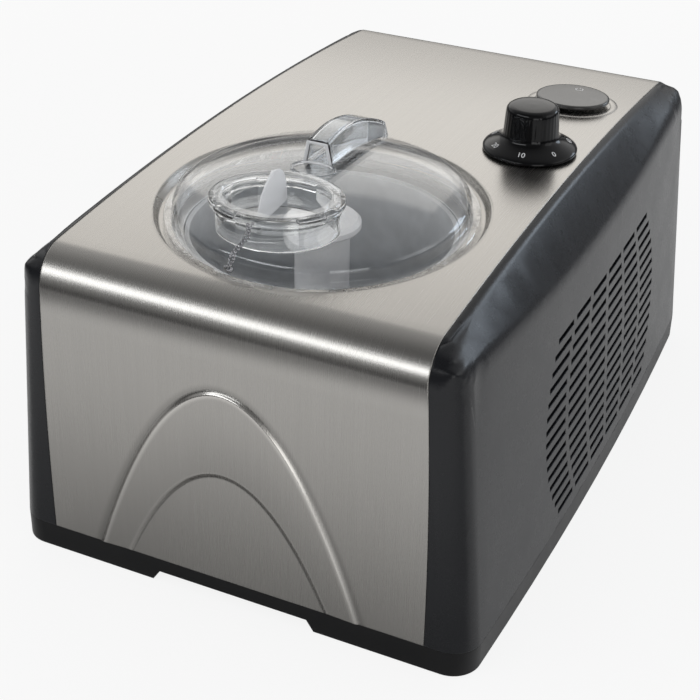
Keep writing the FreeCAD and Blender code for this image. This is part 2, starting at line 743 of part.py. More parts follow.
def gearbox_housing():
    """Open tray that holds the gear train on the base."""
    body = box(-BOX_HALF_X, BOX_HALF_X, GEARBOX_FRONT, GEARBOX_REAR, BASE_FLOOR, BOX_TOP)
    body = rounded(body, 14, lambda e: abs(e.Length - (BOX_TOP - BASE_FLOOR)) < 0.1)
    w = BOX_WALL
    half = BOX_HALF_X - w
    inside = box(-half, half, GEARBOX_FRONT + w, GEARBOX_REAR - w, BASE_FLOOR + w, BOX_TOP + 1)
    inside = rounded(inside, 14 - w, lambda e: abs(e.Length - (BOX_TOP + 1 - BASE_FLOOR - w)) < 0.1)
    tray = body.cut(inside)
    bore = cyl(SHAFT_R + FIT, BASE_FLOOR + 5, 60, 0, BOWL_Y)
    boss = cyl(10, BASE_FLOOR + w, BASE_FLOOR + 14, 0, BOWL_Y).cut(bore)
    return tray.cut(cyl(SHAFT_R + FIT, BASE_FLOOR + 5, 60, 0, BOWL_Y)).fuse(boss).removeSplitter()


def gearbox_cover():
    """Cover plate of the gearbox, which the motor stands on."""
    plate = box(-BOX_HALF_X, BOX_HALF_X, GEARBOX_FRONT, GEARBOX_REAR, BOX_TOP, BOX_TOP + COVER_T)
    plate = rounded(plate, 14, lambda e: abs(e.Length - COVER_T) < 0.1)
    return plate.cut(cyl(SHAFT_R + 4, 0, 100, 0, BOWL_Y)).cut(cyl(3.6, 0, 100, 0, MOTOR_Y))


def compressor():
    """Hermetic compressor shell with a welded seam, mounting plate and terminal box."""
    c = COMPRESSOR
    low, top = COMPRESSOR_LOW, COMPRESSOR_TOP
    shell = cyl(COMPRESSOR_R, low + 2, top, c.x, c.y)
    shell = rounded(shell, 22, lambda e: abs(e.CenterOfMass.z - top) < 0.1 and e.Length > COMPRESSOR_R)
    seam = cyl(COMPRESSOR_R + 1.5, 70, 73, c.x, c.y)
    plate = box(c.x - 50, c.x + 50, c.y - 44, c.y + 44, low, low + 3)
    holes = [cyl(4.2, 0, 60, x, y) for x, y in grommet_spots()]
    terminal = box(c.x + 44, c.x + 58, c.y - 16, c.y + 16, 78, 108)
    return shell.fuse([seam, plate, terminal]).cut(Part.makeCompound(holes)).removeSplitter()


def grommet_spots():
    """Plan positions of the compressor's four rubber mounts."""
    c = COMPRESSOR
    return [(c.x + sx * 43, c.y + sy * 37) for sx in (-1, 1) for sy in (-1, 1)]


def compressor_grommets():
    """Rubber mounts between the compressor's plate and the base."""
    low = COMPRESSOR_LOW
    grommets = []
    for x, y in grommet_spots():
        body = cyl(8, BASE_FLOOR, low, x, y).fuse(cyl(4, low, low + 3.5, x, y))
        grommets.append(body.fuse(cyl(6, low + 3, low + 6, x, y)))
    return Part.makeCompound(grommets)


def condenser():
    """Finned condenser block behind the right-hand vent, with a foot to the base."""
    f = FAN
    x0, x1 = 104, 122
    frame = box(x0, x1, f.y - 56, f.y + 56, 32, 128)
    cuts = []
    for k in range(16):
        y = f.y - 52.5 + 7 * k
        cuts.append(box(x0 - 1, x1 + 1, y - 2.2, y + 2.2, 37, 123))
    foot = box(x0 + 4, x1 - 6, f.y - 50, f.y + 50, BASE_FLOOR, 32)
    return frame.cut(Part.makeCompound(cuts)).fuse(foot).removeSplitter()


def fan_shroud():
    """Square shroud with a round duct in front of the condenser."""
    f = FAN
    half = FAN_R + 5
    x0, x1 = f.x - 6, f.x + 11.8
    body = box(x0, x1, f.y - half, f.y + half, f.z - half, f.z + half)
    duct = Part.makeCylinder(FAN_R + 2, 60, V(x0 - 5, f.y, f.z), X_AXIS)
    body = body.cut(duct)
    spider = box(x0, x0 + 3, f.y - half, f.y + half, f.z - 4, f.z + 4)
    ring = Part.makeCylinder(19, 3, V(x0, f.y, f.z), X_AXIS)
    hole = Part.makeCylinder(4, 60, V(x0 - 5, f.y, f.z), X_AXIS)
    foot = box(x0, x0 + 6, f.y - 40, f.y + 40, BASE_FLOOR, f.z - half)
    return body.fuse([spider, ring, foot]).cut(hole).removeSplitter()


def fan_blade():
    """Axial fan wheel with pitched blades."""
    f = FAN
    hub = Part.makeCylinder(14, 10, V(f.x - 1, f.y, f.z), X_AXIS)
    shaft = Part.makeCylinder(2.0, 22, V(f.x - 19, f.y, f.z), X_AXIS)
    blades = []
    for k in range(FAN_BLADES):
        blade = box(-1, 1, -9, 9, 12, FAN_R)
        blade.rotate(V(0, 0, 0), Z_AXIS, 24)
        blade.rotate(V(0, 0, 0), X_AXIS, 360.0 * k / FAN_BLADES)
        blade.translate(V(f.x + 4.2, f.y, f.z))
        blades.append(blade)
    return hub.fuse(blades + [shaft]).removeSplitter()


def fan_motor():
    """Fan motor behind the shroud's spider."""
    f = FAN
    x1 = f.x - 6
    can = Part.makeCylinder(19, 26, V(x1 - 26, f.y, f.z), X_AXIS)
    return can.cut(Part.makeCylinder(2.0 + FIT, 20, V(x1 - 14, f.y, f.z), X_AXIS))


def filter_drier():
    """Copper drier in the liquid line, clipped above the base."""
    y, z = 178.0, 46.0
    body = Part.makeCylinder(8, 56, V(22, y, z), X_AXIS)
    ends = Part.makeCylinder(4, 72, V(14, y, z), X_AXIS)
    clip = box(44, 54, y - 5, y + 5, BASE_FLOOR, z - 6)
    return body.fuse([ends, clip])


def suction_pipe():
    """Return line from the evaporator to the compressor."""
    start = V(-88, BOWL_Y + 108, 120)
    points = [
        start, V(-108, 40, 120), V(-108, 70, 150), V(-80, 100, 158), V(-60, 120, 150), V(-60, 121, 130.2),
    ]
    return bent_tube(points, 3.0, 8.0)


def discharge_pipe():
    """Hot line from the compressor to the condenser."""
    points = [
        V(-40, 130, 130.2), V(-40, 131, 152), V(0, 150, 158), V(60, 158, 140), V(112, 140, 120),
        V(112, 117.6, 112),
    ]
    return bent_tube(points, 2.5, 8.0)


def control_bracket():
    """Bracket under the top that carries the timer and the switch, with a leg to the base."""
    plate = box(48, 101, -4, 142, PLATE_Z, PLATE_Z + PLATE_T)
    leg = box(60, 90, 140, 142, BASE_FLOOR, PLATE_Z)
    holes = [cyl(5, 0, 300, KNOB.x, KNOB.y), on_top(cyl(9.5, -60, 30), BUTTON)]
    return plate.fuse(leg).cut(Part.makeCompound(holes)).removeSplitter()


def timer_body():
    """Clockwork timer under the bracket."""
    body = box(KNOB.x - 21, KNOB.x + 21, KNOB.y - 21, KNOB.y + 21, PLATE_Z - 34, PLATE_Z)
    body = rounded(body, 3, lambda e: abs(e.Length - 34) < 0.1)
    return body.cut(cyl(TIMER_SHAFT_R + FIT, PLATE_Z - 20, 300, KNOB.x, KNOB.y))


def timer_shaft():
    """Timer's spindle."""
    return cyl(TIMER_SHAFT_R, PLATE_Z - 19, top_z(KNOB.y) + 18, KNOB.x, KNOB.y)


def timer_knob():
    """Turning knob: a tall finger grip on a flared skirt."""
    knob = revolve([
        (TIMER_SHAFT_R + 0.02, 0), (KNOB_SKIRT_R - 0.5, 0), (KNOB_SKIRT_R, 0.8), (KNOB_SKIRT_R - 0.4, 2.6),
        (KNOB_SKIRT_R - 3, 4.6), (KNOB_R + 3.5, 7.2), (KNOB_R + 0.9, 9.2), (KNOB_R, KNOB_TALL - 3.2),
        (KNOB_R - 0.8, KNOB_TALL - 1.0), (KNOB_R - 2.6, KNOB_TALL), (0, KNOB_TALL + 0.3), (0, 17.2),
        (TIMER_SHAFT_R + 0.02, 17.2),
    ])
    knob.translate(V(KNOB.x, KNOB.y, top_z(KNOB.y) + 1.0))
    return knob


def power_button():
    """Round push button with a stem down to the switch."""
    low = BUTTON_PROUD - BUTTON_T
    disc = revolve([
        (0, low), (BUTTON_R - 1, low), (BUTTON_R, low + 0.8), (BUTTON_R, BUTTON_PROUD - 1.0),
        (BUTTON_R - 0.8, BUTTON_PROUD - 0.2), (BUTTON_R - 2, BUTTON_PROUD), (0, BUTTON_PROUD + 0.3),
    ])
    stem = cyl(4.0, -20, low)
    return on_top(disc.fuse(stem).removeSplitter(), BUTTON)


def button_bezel():
    """Polished ring round the button, seated on the steel top."""
    ring = revolve([
        (BUTTON_R + 0.7, 0.2), (BEZEL_R, 0.2), (BEZEL_R - 0.4, 0.7), (BEZEL_R - 2, 1.1),
        (BUTTON_R + 1.2, 1.1),
        (BUTTON_R + 0.7, 0.8),
    ])
    return on_top(ring, BUTTON)


def button_spring():
    """Return spring round the button's stem, as a sleeve."""
    return on_top(tube(6.6, 4.8, 0.1 - SWITCH_DROP, BUTTON_PROUD - BUTTON_T - 0.05), BUTTON)


def switch_body():
    """Latching switch under the button."""
    low, top = -50.0, -SWITCH_DROP
    body = box(-14, 14, -11, 11, low, top).cut(cyl(4.3, -24, 30))
    ears = box(-19, 19, -5, 5, top - 4, top).cut(cyl(4.3, -24, 30))
    return on_top(body.fuse(ears).removeSplitter(), BUTTON)


def control_board():
    """Mains control board with a relay and terminal strip, on a folded bracket."""
    x = -100.0
    board = box(x, x + 1.6, 20, 74, 58, 112)
    relay = box(x + 1.6, x + 15, 26, 46, 90, 108)
    terminals = box(x + 1.6, x + 11, 50, 70, 66, 74)
    capacitor = box(x + 1.6, x + 9, 26, 42, 62, 76)
    return board.fuse([relay, terminals, capacitor])


def board_bracket():
    """Folded steel bracket that holds the control board up from the base."""
    x = -100.0
    upright = box(x - 1.5, x, 22, 72, BASE_FLOOR, 110)
    foot = box(x, x + 16, 22, 72, BASE_FLOOR, BASE_FLOOR + 1.5)
    return upright.fuse(foot).removeSplitter()


def ellipse_block(a, b, z0, z1):
    """Oval block in the lid's frame, at the filler chute."""
    face = Part.Face(Part.Wire([Part.Ellipse(V(0, 0, 0), a, b).toShape()]))
    block = face.extrude(V(0, 0, z1 - z0))
    block.rotate(V(0, 0, 0), Z_AXIS, CHUTE_TURN)
    block.translate(V(CHUTE_X, CHUTE_Y, z0))
    return block


def dome_solid(edge_r, edge_z, apex):
    """Dome block from the seat plane up to a spherical cap."""
    rise = apex - edge_z
    ball = (edge_r ** 2 + rise ** 2) / (2 * rise)
    sphere = Part.makeSphere(ball, V(0, 0, apex - ball))
    column = cyl(edge_r, -LID_SKIRT - 1, apex + 1)
    return column.common(sphere)


def lid():
    """Clear lid: seat flange, locating skirt, dome and the oval filler collar."""
    outer = dome_solid(LID_WALL_R, LID_WALL_TOP, LID_APEX)
    inner = dome_solid(LID_WALL_R - LID_T, LID_WALL_TOP - 0.6, LID_APEX - LID_T)
    body = outer.common(cyl(LID_WALL_R, 0, 100)).fuse(cyl(LID_R, 0, LID_FLANGE))
    body = body.fuse(cyl(LID_SKIRT_R, -LID_SKIRT, 1))
    collar = ellipse_block(CHUTE_A, CHUTE_B, CHUTE_LOW, CHUTE_TOP)
    lip = ellipse_block(CHUTE_A + CHUTE_LIP, CHUTE_B + CHUTE_LIP, CHUTE_TOP - 3.2, CHUTE_TOP)
    wall = CHUTE_WALL
    mouth = ellipse_block(CHUTE_A - wall, CHUTE_B - wall, 0, CHUTE_TOP + 5)
    body = body.cut(inner).fuse([collar, lip]).cut(mouth)
    return seated(body.removeSplitter())


def lid_handle():
    """Clear grip on the lid: a tapered bridge with an arched tunnel, standing on the dome."""
    y0, y1 = HANDLE_FRONT, HANDLE_BACK

    def section(y, top, half_low, half_top, inset):
        floor = 0.0
        return Part.makePolygon([
            V(HANDLE_X - half_low + inset, y, floor), V(HANDLE_X + half_low - inset, y, floor),
            V(HANDLE_X + half_top - inset, y, top - inset), V(HANDLE_X - half_top + inset, y, top - inset),
            V(HANDLE_X - half_low + inset, y, floor),
        ])

    def block(inset):
        stations = [
            (y0 - 0.01 * inset, HANDLE_FRONT_TOP), (y0 + (y1 - y0) * 0.33, HANDLE_PEAK),
            (y0 + (y1 - y0) * 0.7, (HANDLE_PEAK + HANDLE_BACK_TOP) / 2 + 1.8), (y1, HANDLE_BACK_TOP),
        ]
        wires = [section(y, top, HANDLE_LOW_HALF, HANDLE_TOP_HALF, inset) for y, top in stations]
        return Part.makeLoft(wires, True, False)

    shell = block(0.0)
    tunnel = block(HANDLE_WALL).common(box(-50, 50, y0 - 5, y1 - HANDLE_WALL, -5, 100))
    dome = dome_solid(LID_WALL_R, LID_WALL_TOP, LID_APEX).fuse(cyl(LID_R, -5, LID_FLANGE))
    return seated(shell.cut(tunnel).cut(dome))


def filler_cap():
    """Oval cap with a deep pan and an upright finger fin, resting on the collar."""
    a = CHUTE_A - CHUTE_WALL - CAP_GAP
    b = CHUTE_B - CHUTE_WALL - CAP_GAP
    top = CHUTE_TOP + CAP_FLANGE_UP
    pan = ellipse_block(a, b, CAP_FLOOR, top)
    rim = ellipse_block(CHUTE_A + 0.6, CHUTE_B + 0.6, CHUTE_TOP, top)
    hollow = ellipse_block(a - CAP_WALL, b - CAP_WALL, CAP_FLOOR + CAP_WALL, top + 5)
    fin_low = CAP_FLOOR + CAP_WALL - 0.2
    half = FIN_HALF
    outline = Part.Wire([
        Part.LineSegment(V(0, -half, 0), V(0, half, 0)).toShape(),
        Part.Arc(V(0, half, 0), V(0, half * 0.75, FIN_TALL * 0.8), V(0, half * 0.15, FIN_TALL)).toShape(),
        Part.Arc(V(0, half * 0.15, FIN_TALL), V(0, -half * 0.65, FIN_TALL * 0.62), V(0, -half, 0)).toShape(),
    ])
    fin = Part.Face(outline).extrude(V(FIN_T, 0, 0))
    fin.translate(V(-FIN_T / 2, 0, fin_low))
    fin.rotate(V(0, 0, 0), Z_AXIS, CHUTE_TURN)
    fin.translate(V(CHUTE_X, CHUTE_Y, 0))
    return seated(pan.fuse(rim).cut(hollow).fuse(fin).removeSplitter())


def cap_chain():
    """Bead chain that hangs from the collar's lip over the dome, as a plain tube."""
    lip_y = CHUTE_Y - CHUTE_B - CHUTE_LIP - CHAIN_R - 0.3
    points = [
        V(CHUTE_X - 2, lip_y, CHUTE_TOP - 1.0), V(CHUTE_X - 4, lip_y - 0.6, CHUTE_TOP - 9.0),
        V(CHUTE_X - 6, lip_y - 8.8, LID_WALL_TOP + 3.0),
        V(CHUTE_X - 8, lip_y - 9.6, LID_FLANGE + CHAIN_R + 0.3),
    ]
    return seated(bent_tube(points, CHAIN_R, 2.0)).cut(lid())


NODES = {
    "base_tray": base_tray,
    "foot_pads": foot_pads,
    "steel_wrap": steel_wrap,
    "right_side_panel": side_panel,
    "rear_panel": rear_panel,
    "rear_screws": rear_screws,
    "base_screws": base_screws,
    "cord_gland": cord_gland,
    "chilling_pot": chilling_pot,
    "evaporator_jacket": evaporator_jacket,
    "insulation_jacket": insulation_jacket,
    "pot_seal": pot_seal,
    "pot_bracket": pot_bracket,
    "mixing_bowl": mixing_bowl,
    "mixing_paddle": mixing_paddle,
    "drive_shaft": drive_shaft,
    "shaft_bush": shaft_bush,
    "output_gear": output_gear,
    "idler_gear": idler_gear,
    "idler_pin": idler_pin,
    "motor_pinion": motor_pinion,
    "motor_shaft": motor_shaft,
    "drive_motor": drive_motor,
    "gearbox_housing": gearbox_housing,
    "gearbox_cover": gearbox_cover,
    "compressor": compressor,
    "compressor_grommets": compressor_grommets,
    "condenser": condenser,
    "fan_shroud": fan_shroud,
    "fan_blade": fan_blade,
    "fan_motor": fan_motor,
    "filter_drier": filter_drier,
    "suction_pipe": suction_pipe,
    "discharge_pipe": discharge_pipe,
    "control_bracket": control_bracket,
    "timer_body": timer_body,
    "timer_shaft": timer_shaft,
    "timer_knob": timer_knob,
    "power_button": power_button,
    "button_bezel": button_bezel,
    "button_spring": button_spring,
    "switch_body": switch_body,
    "control_board": control_board,
    "board_bracket": board_bracket,
    "lid": lid,
    "lid_handle": lid_handle,
    "filler_cap": filler_cap,
    "cap_chain": cap_chain,
}


def main():
    """Build every piece and write it to its own file."""
    os.makedirs("parts", exist_ok=True)
    shapes = {name: make() for name, make in NODES.items()}
    shapes["left_side_panel"] = mirrored(shapes["right_side_panel"])
    for name, shape in shapes.items():
        print(name, shape.isValid(), len(shape.Solids), round(shape.Volume / 1000, 1), "cm3")
        shape.exportStep("parts/" + name + ".step")


main()
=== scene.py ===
"""Dresses the packed ice cream maker for its picture: finishes, modelled pieces, light and camera."""
from __future__ import annotations

import json
import logging
import math
from dataclasses import dataclass, field
from enum import Enum
from typing import Callable, Mapping, Sequence, Union

import bmesh
import bpy
from mathutils import Matrix, Vector

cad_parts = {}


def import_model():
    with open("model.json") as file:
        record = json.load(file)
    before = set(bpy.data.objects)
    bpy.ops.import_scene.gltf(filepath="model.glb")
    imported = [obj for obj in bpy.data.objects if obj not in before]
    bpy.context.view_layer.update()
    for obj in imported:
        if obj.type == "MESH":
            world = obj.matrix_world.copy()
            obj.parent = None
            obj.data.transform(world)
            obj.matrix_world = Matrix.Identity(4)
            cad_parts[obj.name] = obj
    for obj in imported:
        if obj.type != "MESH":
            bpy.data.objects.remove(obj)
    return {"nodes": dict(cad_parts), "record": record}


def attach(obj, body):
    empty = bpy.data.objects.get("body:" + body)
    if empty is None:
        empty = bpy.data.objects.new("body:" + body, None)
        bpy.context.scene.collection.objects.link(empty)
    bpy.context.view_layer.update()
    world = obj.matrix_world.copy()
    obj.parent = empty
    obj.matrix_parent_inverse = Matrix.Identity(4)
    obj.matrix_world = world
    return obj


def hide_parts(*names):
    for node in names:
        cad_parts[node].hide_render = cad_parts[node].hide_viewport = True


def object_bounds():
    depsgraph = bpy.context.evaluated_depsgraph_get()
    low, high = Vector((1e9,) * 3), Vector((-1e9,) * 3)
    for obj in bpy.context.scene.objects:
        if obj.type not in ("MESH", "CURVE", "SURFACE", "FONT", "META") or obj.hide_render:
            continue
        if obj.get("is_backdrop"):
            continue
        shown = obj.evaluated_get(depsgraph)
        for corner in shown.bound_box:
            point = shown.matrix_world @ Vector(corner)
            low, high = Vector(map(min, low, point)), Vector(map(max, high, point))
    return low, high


LOG = logging.getLogger("ice_cream_maker")
MM = 0.001
BOWL_Y = -94.0
ARCH_MIDDLE = -3.0
ARCH_FOOT = 24.0
Colour = tuple[float, float, float]
Point = tuple[float, float, float]
Ring = Sequence[float]
Profile = Sequence[tuple[float, float]]
Piece = bpy.types.Object
Paint = bpy.types.Material


class Slot(Enum):
    """Material slots of the record."""

    STEEL = "brushed_steel"
    PANEL = "black_plastic"
    BASE = "base_plastic"
    KNOB = "gloss_black"
    BUTTON = "button_grey"
    CHROME = "chrome"
    CLEAR = "clear_plastic"
    FROSTED = "frosted_plastic"
    WHITE = "white_plastic"
    ALUMINIUM = "aluminium"
    BRIGHT = "bright_steel"
    ZINC = "zinc_steel"
    ENAMEL = "black_enamel"
    RUBBER = "rubber"
    FOAM = "foam"
    COPPER = "copper"
    NYLON = "gear_nylon"
    BOARD = "board_green"


def through(operation: str, swapped: bool = False) -> Callable[[Wire, Value], Wire]:
    """A method that takes a wire and another value through a Math node.

    Args:
        operation: The node's operation.
        swapped: True where the other value comes first.

    Returns:
        The method.
    """
    def method(wire: Wire, other: Value) -> Wire:
        """The node's result."""
        first, second = (other, wire) if swapped else (wire, other)
        return wire.graph.make("ShaderNodeMath", {"operation": operation}, {0: first, 1: second})
    return method


class Wire:
    """A shader socket that takes part in Python arithmetic."""

    def __init__(self, graph: Graph, socket: bpy.types.NodeSocket) -> None:
        """Keeps the socket and the graph that it belongs to."""
        self.graph = graph
        self.socket = socket

    def out(self, name: Key) -> Wire:
        """Another output of the same node."""
        return Wire(self.graph, self.socket.node.outputs[name])

    def root(self) -> Wire:
        """Square root."""
        return self.graph.make("ShaderNodeMath", {"operation": "SQRT"}, {0: self})

    __add__ = through("ADD")
    __radd__ = through("ADD", True)
    __sub__ = through("SUBTRACT")
    __rsub__ = through("SUBTRACT", True)
    __mul__ = through("MULTIPLY")
    __rmul__ = through("MULTIPLY", True)
    __truediv__ = through("DIVIDE")
    __pow__ = through("POWER")
    at_most = through("MINIMUM")
    at_least = through("MAXIMUM")

    def ramp(self, low: float, high: float, start: float = 0.0, end: float = 1.0) -> Wire:
        """A smooth step of this value, from start where it is low to end where it is high."""
        sockets = {"Value": self, "From Min": low, "From Max": high, "To Min": start, "To Max": end}
        return self.graph.make("ShaderNodeMapRange", {"interpolation_type": "SMOOTHSTEP"}, sockets)


Value = Union[float, Wire]
Entry = Union[float, Sequence[float], Wire]
Key = Union[str, int]
Sockets = dict[Key, Entry]


class Graph:
    """A node tree that is written as expressions."""

    def __init__(self, tree: bpy.types.NodeTree) -> None:
        """Empties the tree."""
        self.tree = tree
        tree.nodes.clear()

    def make(self, kind: str, settings: Mapping[str, object] | None = None,
             sockets: Sockets | None = None, out: Key = 0) -> Wire:
        """Adds a node.

        Args:
            kind: The node's type.
            settings: Its own settings, set first; stops are a colour ramp's stops.
            sockets: Values or wires of its inputs.
            out: The output to return.

        Returns:
            That output.
        """
        node = self.tree.nodes.new(kind)
        for key, value in (settings or {}).items():
            if key == "stops":
                self._stops(node.color_ramp, value)
            else:
                setattr(node, key, value)
        for key, value in (sockets or {}).items():
            if isinstance(value, Wire):
                self.tree.links.new(value.socket, node.inputs[key])
            else:
                node.inputs[key].default_value = value
        return Wire(self, node.outputs[out]) if len(node.outputs) else Wire(self, None)

    @staticmethod
    def _stops(ramp: bpy.types.ColorRamp, stops: Profile) -> None:
        """Sets a ramp's stops.

        Args:
            ramp: The colour ramp.
            stops: Place and grey of each stop.
        """
        while len(ramp.elements) > 1:
            ramp.elements.remove(ramp.elements[-1])
        for index, (place, grey) in enumerate(stops):
            stop = ramp.elements[0] if index == 0 else ramp.elements.new(place)
            stop.position = place
            stop.color = (grey, grey, grey, 1.0)

    def place(self) -> Wire:
        """Object coordinates."""
        return self.make("ShaderNodeTexCoord", out="Object")

    def axes(self) -> tuple[Wire, Wire, Wire]:
        """The three Object coordinates in metres."""
        parts = self.make("ShaderNodeSeparateXYZ", {}, {0: self.place()})
        return parts.out(0), parts.out(1), parts.out(2)

    def noise(self, scale: float, detail: float = 2.0, vector: Wire | None = None) -> Wire:
        """Noise about 0.5 on Object coordinates or a vector, in cells per metre and octaves."""
        sockets = {"Vector": vector or self.place(), "Scale": scale, "Detail": detail}
        return self.make("ShaderNodeTexNoise", {}, sockets)

    def mixed(self, share: Value, first: Entry, second: Entry) -> Wire:
        """A colour between two."""
        sockets = {0: share, 6: first, 7: second}
        return self.make("ShaderNodeMix", {"data_type": "RGBA"}, sockets, 2)

    def bump(self, height: Wire, distance: float, strength: float, under: Wire) -> Wire:
        """The normal under it, bumped by a height in units of a distance in metres."""
        sockets = {"Height": height, "Distance": distance, "Strength": strength, "Normal": under}
        return self.make("ShaderNodeBump", {}, sockets)

    def soft_edges(self, radius: float) -> Wire:
        """Normals rounded over a piece's edges."""
        return self.make("ShaderNodeBevel", {"samples": 4}, {"Radius": radius})


def scaled(colour: Colour, factor: float = 1.0) -> tuple[float, float, float, float]:
    """The opaque colour, made lighter or darker."""
    return tuple(min(1.0, part * factor) for part in colour) + (1.0,)


@dataclass(frozen=True)
class Finish:
    """A surface finish that makes its own material."""

    tint: Colour
    roughness: float = 0.4
    edge: float = 0.0006

    def inputs(self, graph: Graph) -> Sockets:
        """Values and wires of the shader's sockets, in the material's graph."""
        return {"Base Color": scaled(self.tint), "Roughness": self.roughness}

    def material(self, name: str) -> Paint:
        """Builds the material.

        Args:
            name: The material's name.

        Returns:
            The material with its nodes.
        """
        made = bpy.data.materials.new(name)
        made.use_nodes = True
        graph = Graph(made.node_tree)
        shader = graph.make("ShaderNodeBsdfPrincipled", {}, self.inputs(graph))
        graph.make("ShaderNodeOutputMaterial", {}, {"Surface": shader})
        return made


@dataclass(frozen=True)
class Arch:
    """A parabolic arch on the front sheet, in millimetres."""

    half: float
    tall: float

    def inside(self, graph: Graph) -> Wire:
        """Signed distance to the arch.

        Args:
            graph: The material's graph.

        Returns:
            The distance in metres, positive inside.
        """
        across, _, up = graph.axes()
        reach = (across - ARCH_MIDDLE * MM) / (self.half * MM)
        inside = self.tall * MM * (1.0 - reach * reach) - (up - ARCH_FOOT * MM)
        steep = (reach * (2.0 * self.tall / self.half)) ** 2.0
        return inside / (steep + 1.0).root()

    def spot(self, share: float, inset: float, foot: float, y: float) -> Vector:
        """A point beside the arch.

        Args:
            share: Place along it, from -1 to 1.
            inset: Distance inside it.
            foot: Height at which it ends.
            y: Depth of the point.

        Returns:
            The point.
        """
        along = share * math.sqrt(1.0 + (ARCH_FOOT - foot) / self.tall)
        steep = -2.0 * self.tall * along
        length = math.hypot(self.half, steep)
        x = ARCH_MIDDLE + self.half * along + inset * steep / length
        z = ARCH_FOOT + self.tall * (1.0 - along ** 2) - inset * self.half / length
        return Vector((x, y, max(z, foot)))


OUTER_ARCH = Arch(76.0, 112.0)
INNER_ARCH = Arch(56.0, 61.0)


@dataclass(frozen=True)
class BrushedSteel(Finish):
    """Brushed sheet, with painted shade and painted highlights along the edges of the front's raised arch
    band.
    """

    band: float = 0.0017
    slope: float = 0.0032
    roll: float = 0.0064
    roll_span: tuple[float, float] = (0.153, 0.191)
    front: tuple[float, float] = (0.1985, 0.2010)
    seat_edge: tuple[float, float] = (0.0915, 0.0945)
    seat_low: tuple[float, float] = (0.170, 0.180)

    @staticmethod
    def _streaks(graph: Graph, across_scale: float, along_scale: float, detail: float) -> Wire:
        """Noise that is drawn out along the sheet, over the front and the top.

        Args:
            graph: The material's graph.
            across_scale: Cells per metre across the sheet.
            along_scale: Cells per metre along it.
            detail: Octaves.

        Returns:
            The noise's value.
        """
        across, along, up = graph.axes()
        spots = {0: across * across_scale, 1: (along + up) * along_scale, 2: 0.0}
        return graph.noise(1.0, detail, graph.make("ShaderNodeCombineXYZ", {}, spots))

    def _calm(self, graph: Graph) -> Wire:
        """Where the streaks show.

        Args:
            graph: The material's graph.

        Returns:
            One on the sheet and nought on the pressed seat.
        """
        across, along, up = graph.axes()
        behind = along - BOWL_Y * MM
        reach = (across * across + behind * behind).root()
        return reach.ramp(*self.seat_edge).at_least(up.ramp(*self.seat_low, 1.0, 0.0))

    def inputs(self, graph: Graph) -> Sockets:
        """Streaks along the sheet, blotches, the roll under the bend, and painted shade and painted
        highlights on the arch band's edges.

        Args:
            graph: The material's graph.

        Returns:
            The shader's sockets.
        """
        _, along, up = graph.axes()
        fine = (self._streaks(graph, 3200.0, 22.0, 3.0) - 0.5) * self._calm(graph) + 0.5
        broad = self._streaks(graph, 420.0, 6.0, 2.0)
        cloud = graph.noise(9.0, 2.0)
        shade = (fine * 0.5 + broad * 0.3 + cloud * 0.2).ramp(0.3, 0.7)
        colour = graph.mixed(shade, scaled(self.tint, 0.97), scaled(self.tint, 1.03))
        rough = self.roughness + (fine - 0.5) * 0.05 + (cloud - 0.5) * 0.04
        front = (0.0 - along).ramp(*self.front)
        rim = OUTER_ARCH.inside(graph)
        arch = INNER_ARCH.inside(graph)
        outer = rim.ramp(-self.slope / 3, self.slope * 2 / 3)
        inner = arch.ramp(-self.slope / 2, self.slope / 2, 1.0, 0.0)
        # painted shade: a dark band in the crease just outside the outer arch
        crease_painted_shade = rim.ramp(-0.0052, -0.0012) * rim.ramp(-0.0012, 0.0004, 1.0, 0.0)
        # painted highlight just inside the outer arch's edge
        crest_painted_highlight = rim.ramp(-0.0002, 0.0012) * rim.ramp(0.0014, 0.0045, 1.0, 0.0)
        # painted highlight along the inner arch's edge
        lip_painted_highlight = arch.ramp(-0.0026, -0.0008) * arch.ramp(-0.0008, 0.0010, 1.0, 0.0)
        # share of the painted highlight on the arch edges
        bright = (crest_painted_highlight + lip_painted_highlight * 0.6).at_most(1.0)
        # darkens the sheet's colour in that crease as painted shade
        colour = graph.mixed(crease_painted_shade * front * 0.34, colour, scaled(self.tint, 0.25))
        # lightens the sheet's colour on the arch edges as a painted highlight
        colour = graph.mixed(bright * front * 0.7, colour, scaled(self.tint, 1.75))
        normal = graph.soft_edges(self.edge)
        normal = graph.bump(up.ramp(*self.roll_span, 1.0, 0.0), self.roll, 1.0, normal)
        normal = graph.bump(outer * inner * front, self.band, 1.0, normal)
        normal = graph.bump(fine, 0.00004, 0.12, normal)
        return {"Base Color": colour, "Metallic": 1.0, "Roughness": rough, "Normal": normal}


@dataclass(frozen=True)
class Moulding(Finish):
    """Moulded plastic, rubber, enamel or foam with a grain."""

    grain: float = 2600.0
    depth: float = 0.00003
    mottle: float = 0.10
    subsurface: float = 0.0
    coat: float = 0.0
    shine: float = 0.5

    def inputs(self, graph: Graph) -> Sockets:
        """Fine grain, slow mottling and scuffed high spots.

        Args:
            graph: The material's graph.

        Returns:
            The shader's sockets.
        """
        fine = graph.noise(self.grain, 2.0)
        slow = graph.noise(38.0, 3.0)
        rub = graph.noise(160.0, 3.0).ramp(0.55, 0.75)
        shade = (slow * 0.6 + fine * 0.4).ramp(0.3, 0.7)
        colour = graph.mixed(shade, scaled(self.tint, 0.90), scaled(self.tint, 1.10))
        rough = self.roughness + (slow - 0.5) * self.mottle + (fine - 0.5) * 0.06 - rub * 0.03
        normal = graph.soft_edges(self.edge)
        normal = graph.bump(fine, self.depth, 0.6, normal)
        values: Sockets = {"Base Color": colour, "Roughness": rough, "Normal": normal,
                           "Specular IOR Level": self.shine}
        if self.subsurface:
            values["Subsurface Weight"] = self.subsurface
            values["Subsurface Radius"] = (0.004, 0.004, 0.004)
        if self.coat:
            values["Coat Weight"] = self.coat
            values["Coat Roughness"] = 0.05
        return values


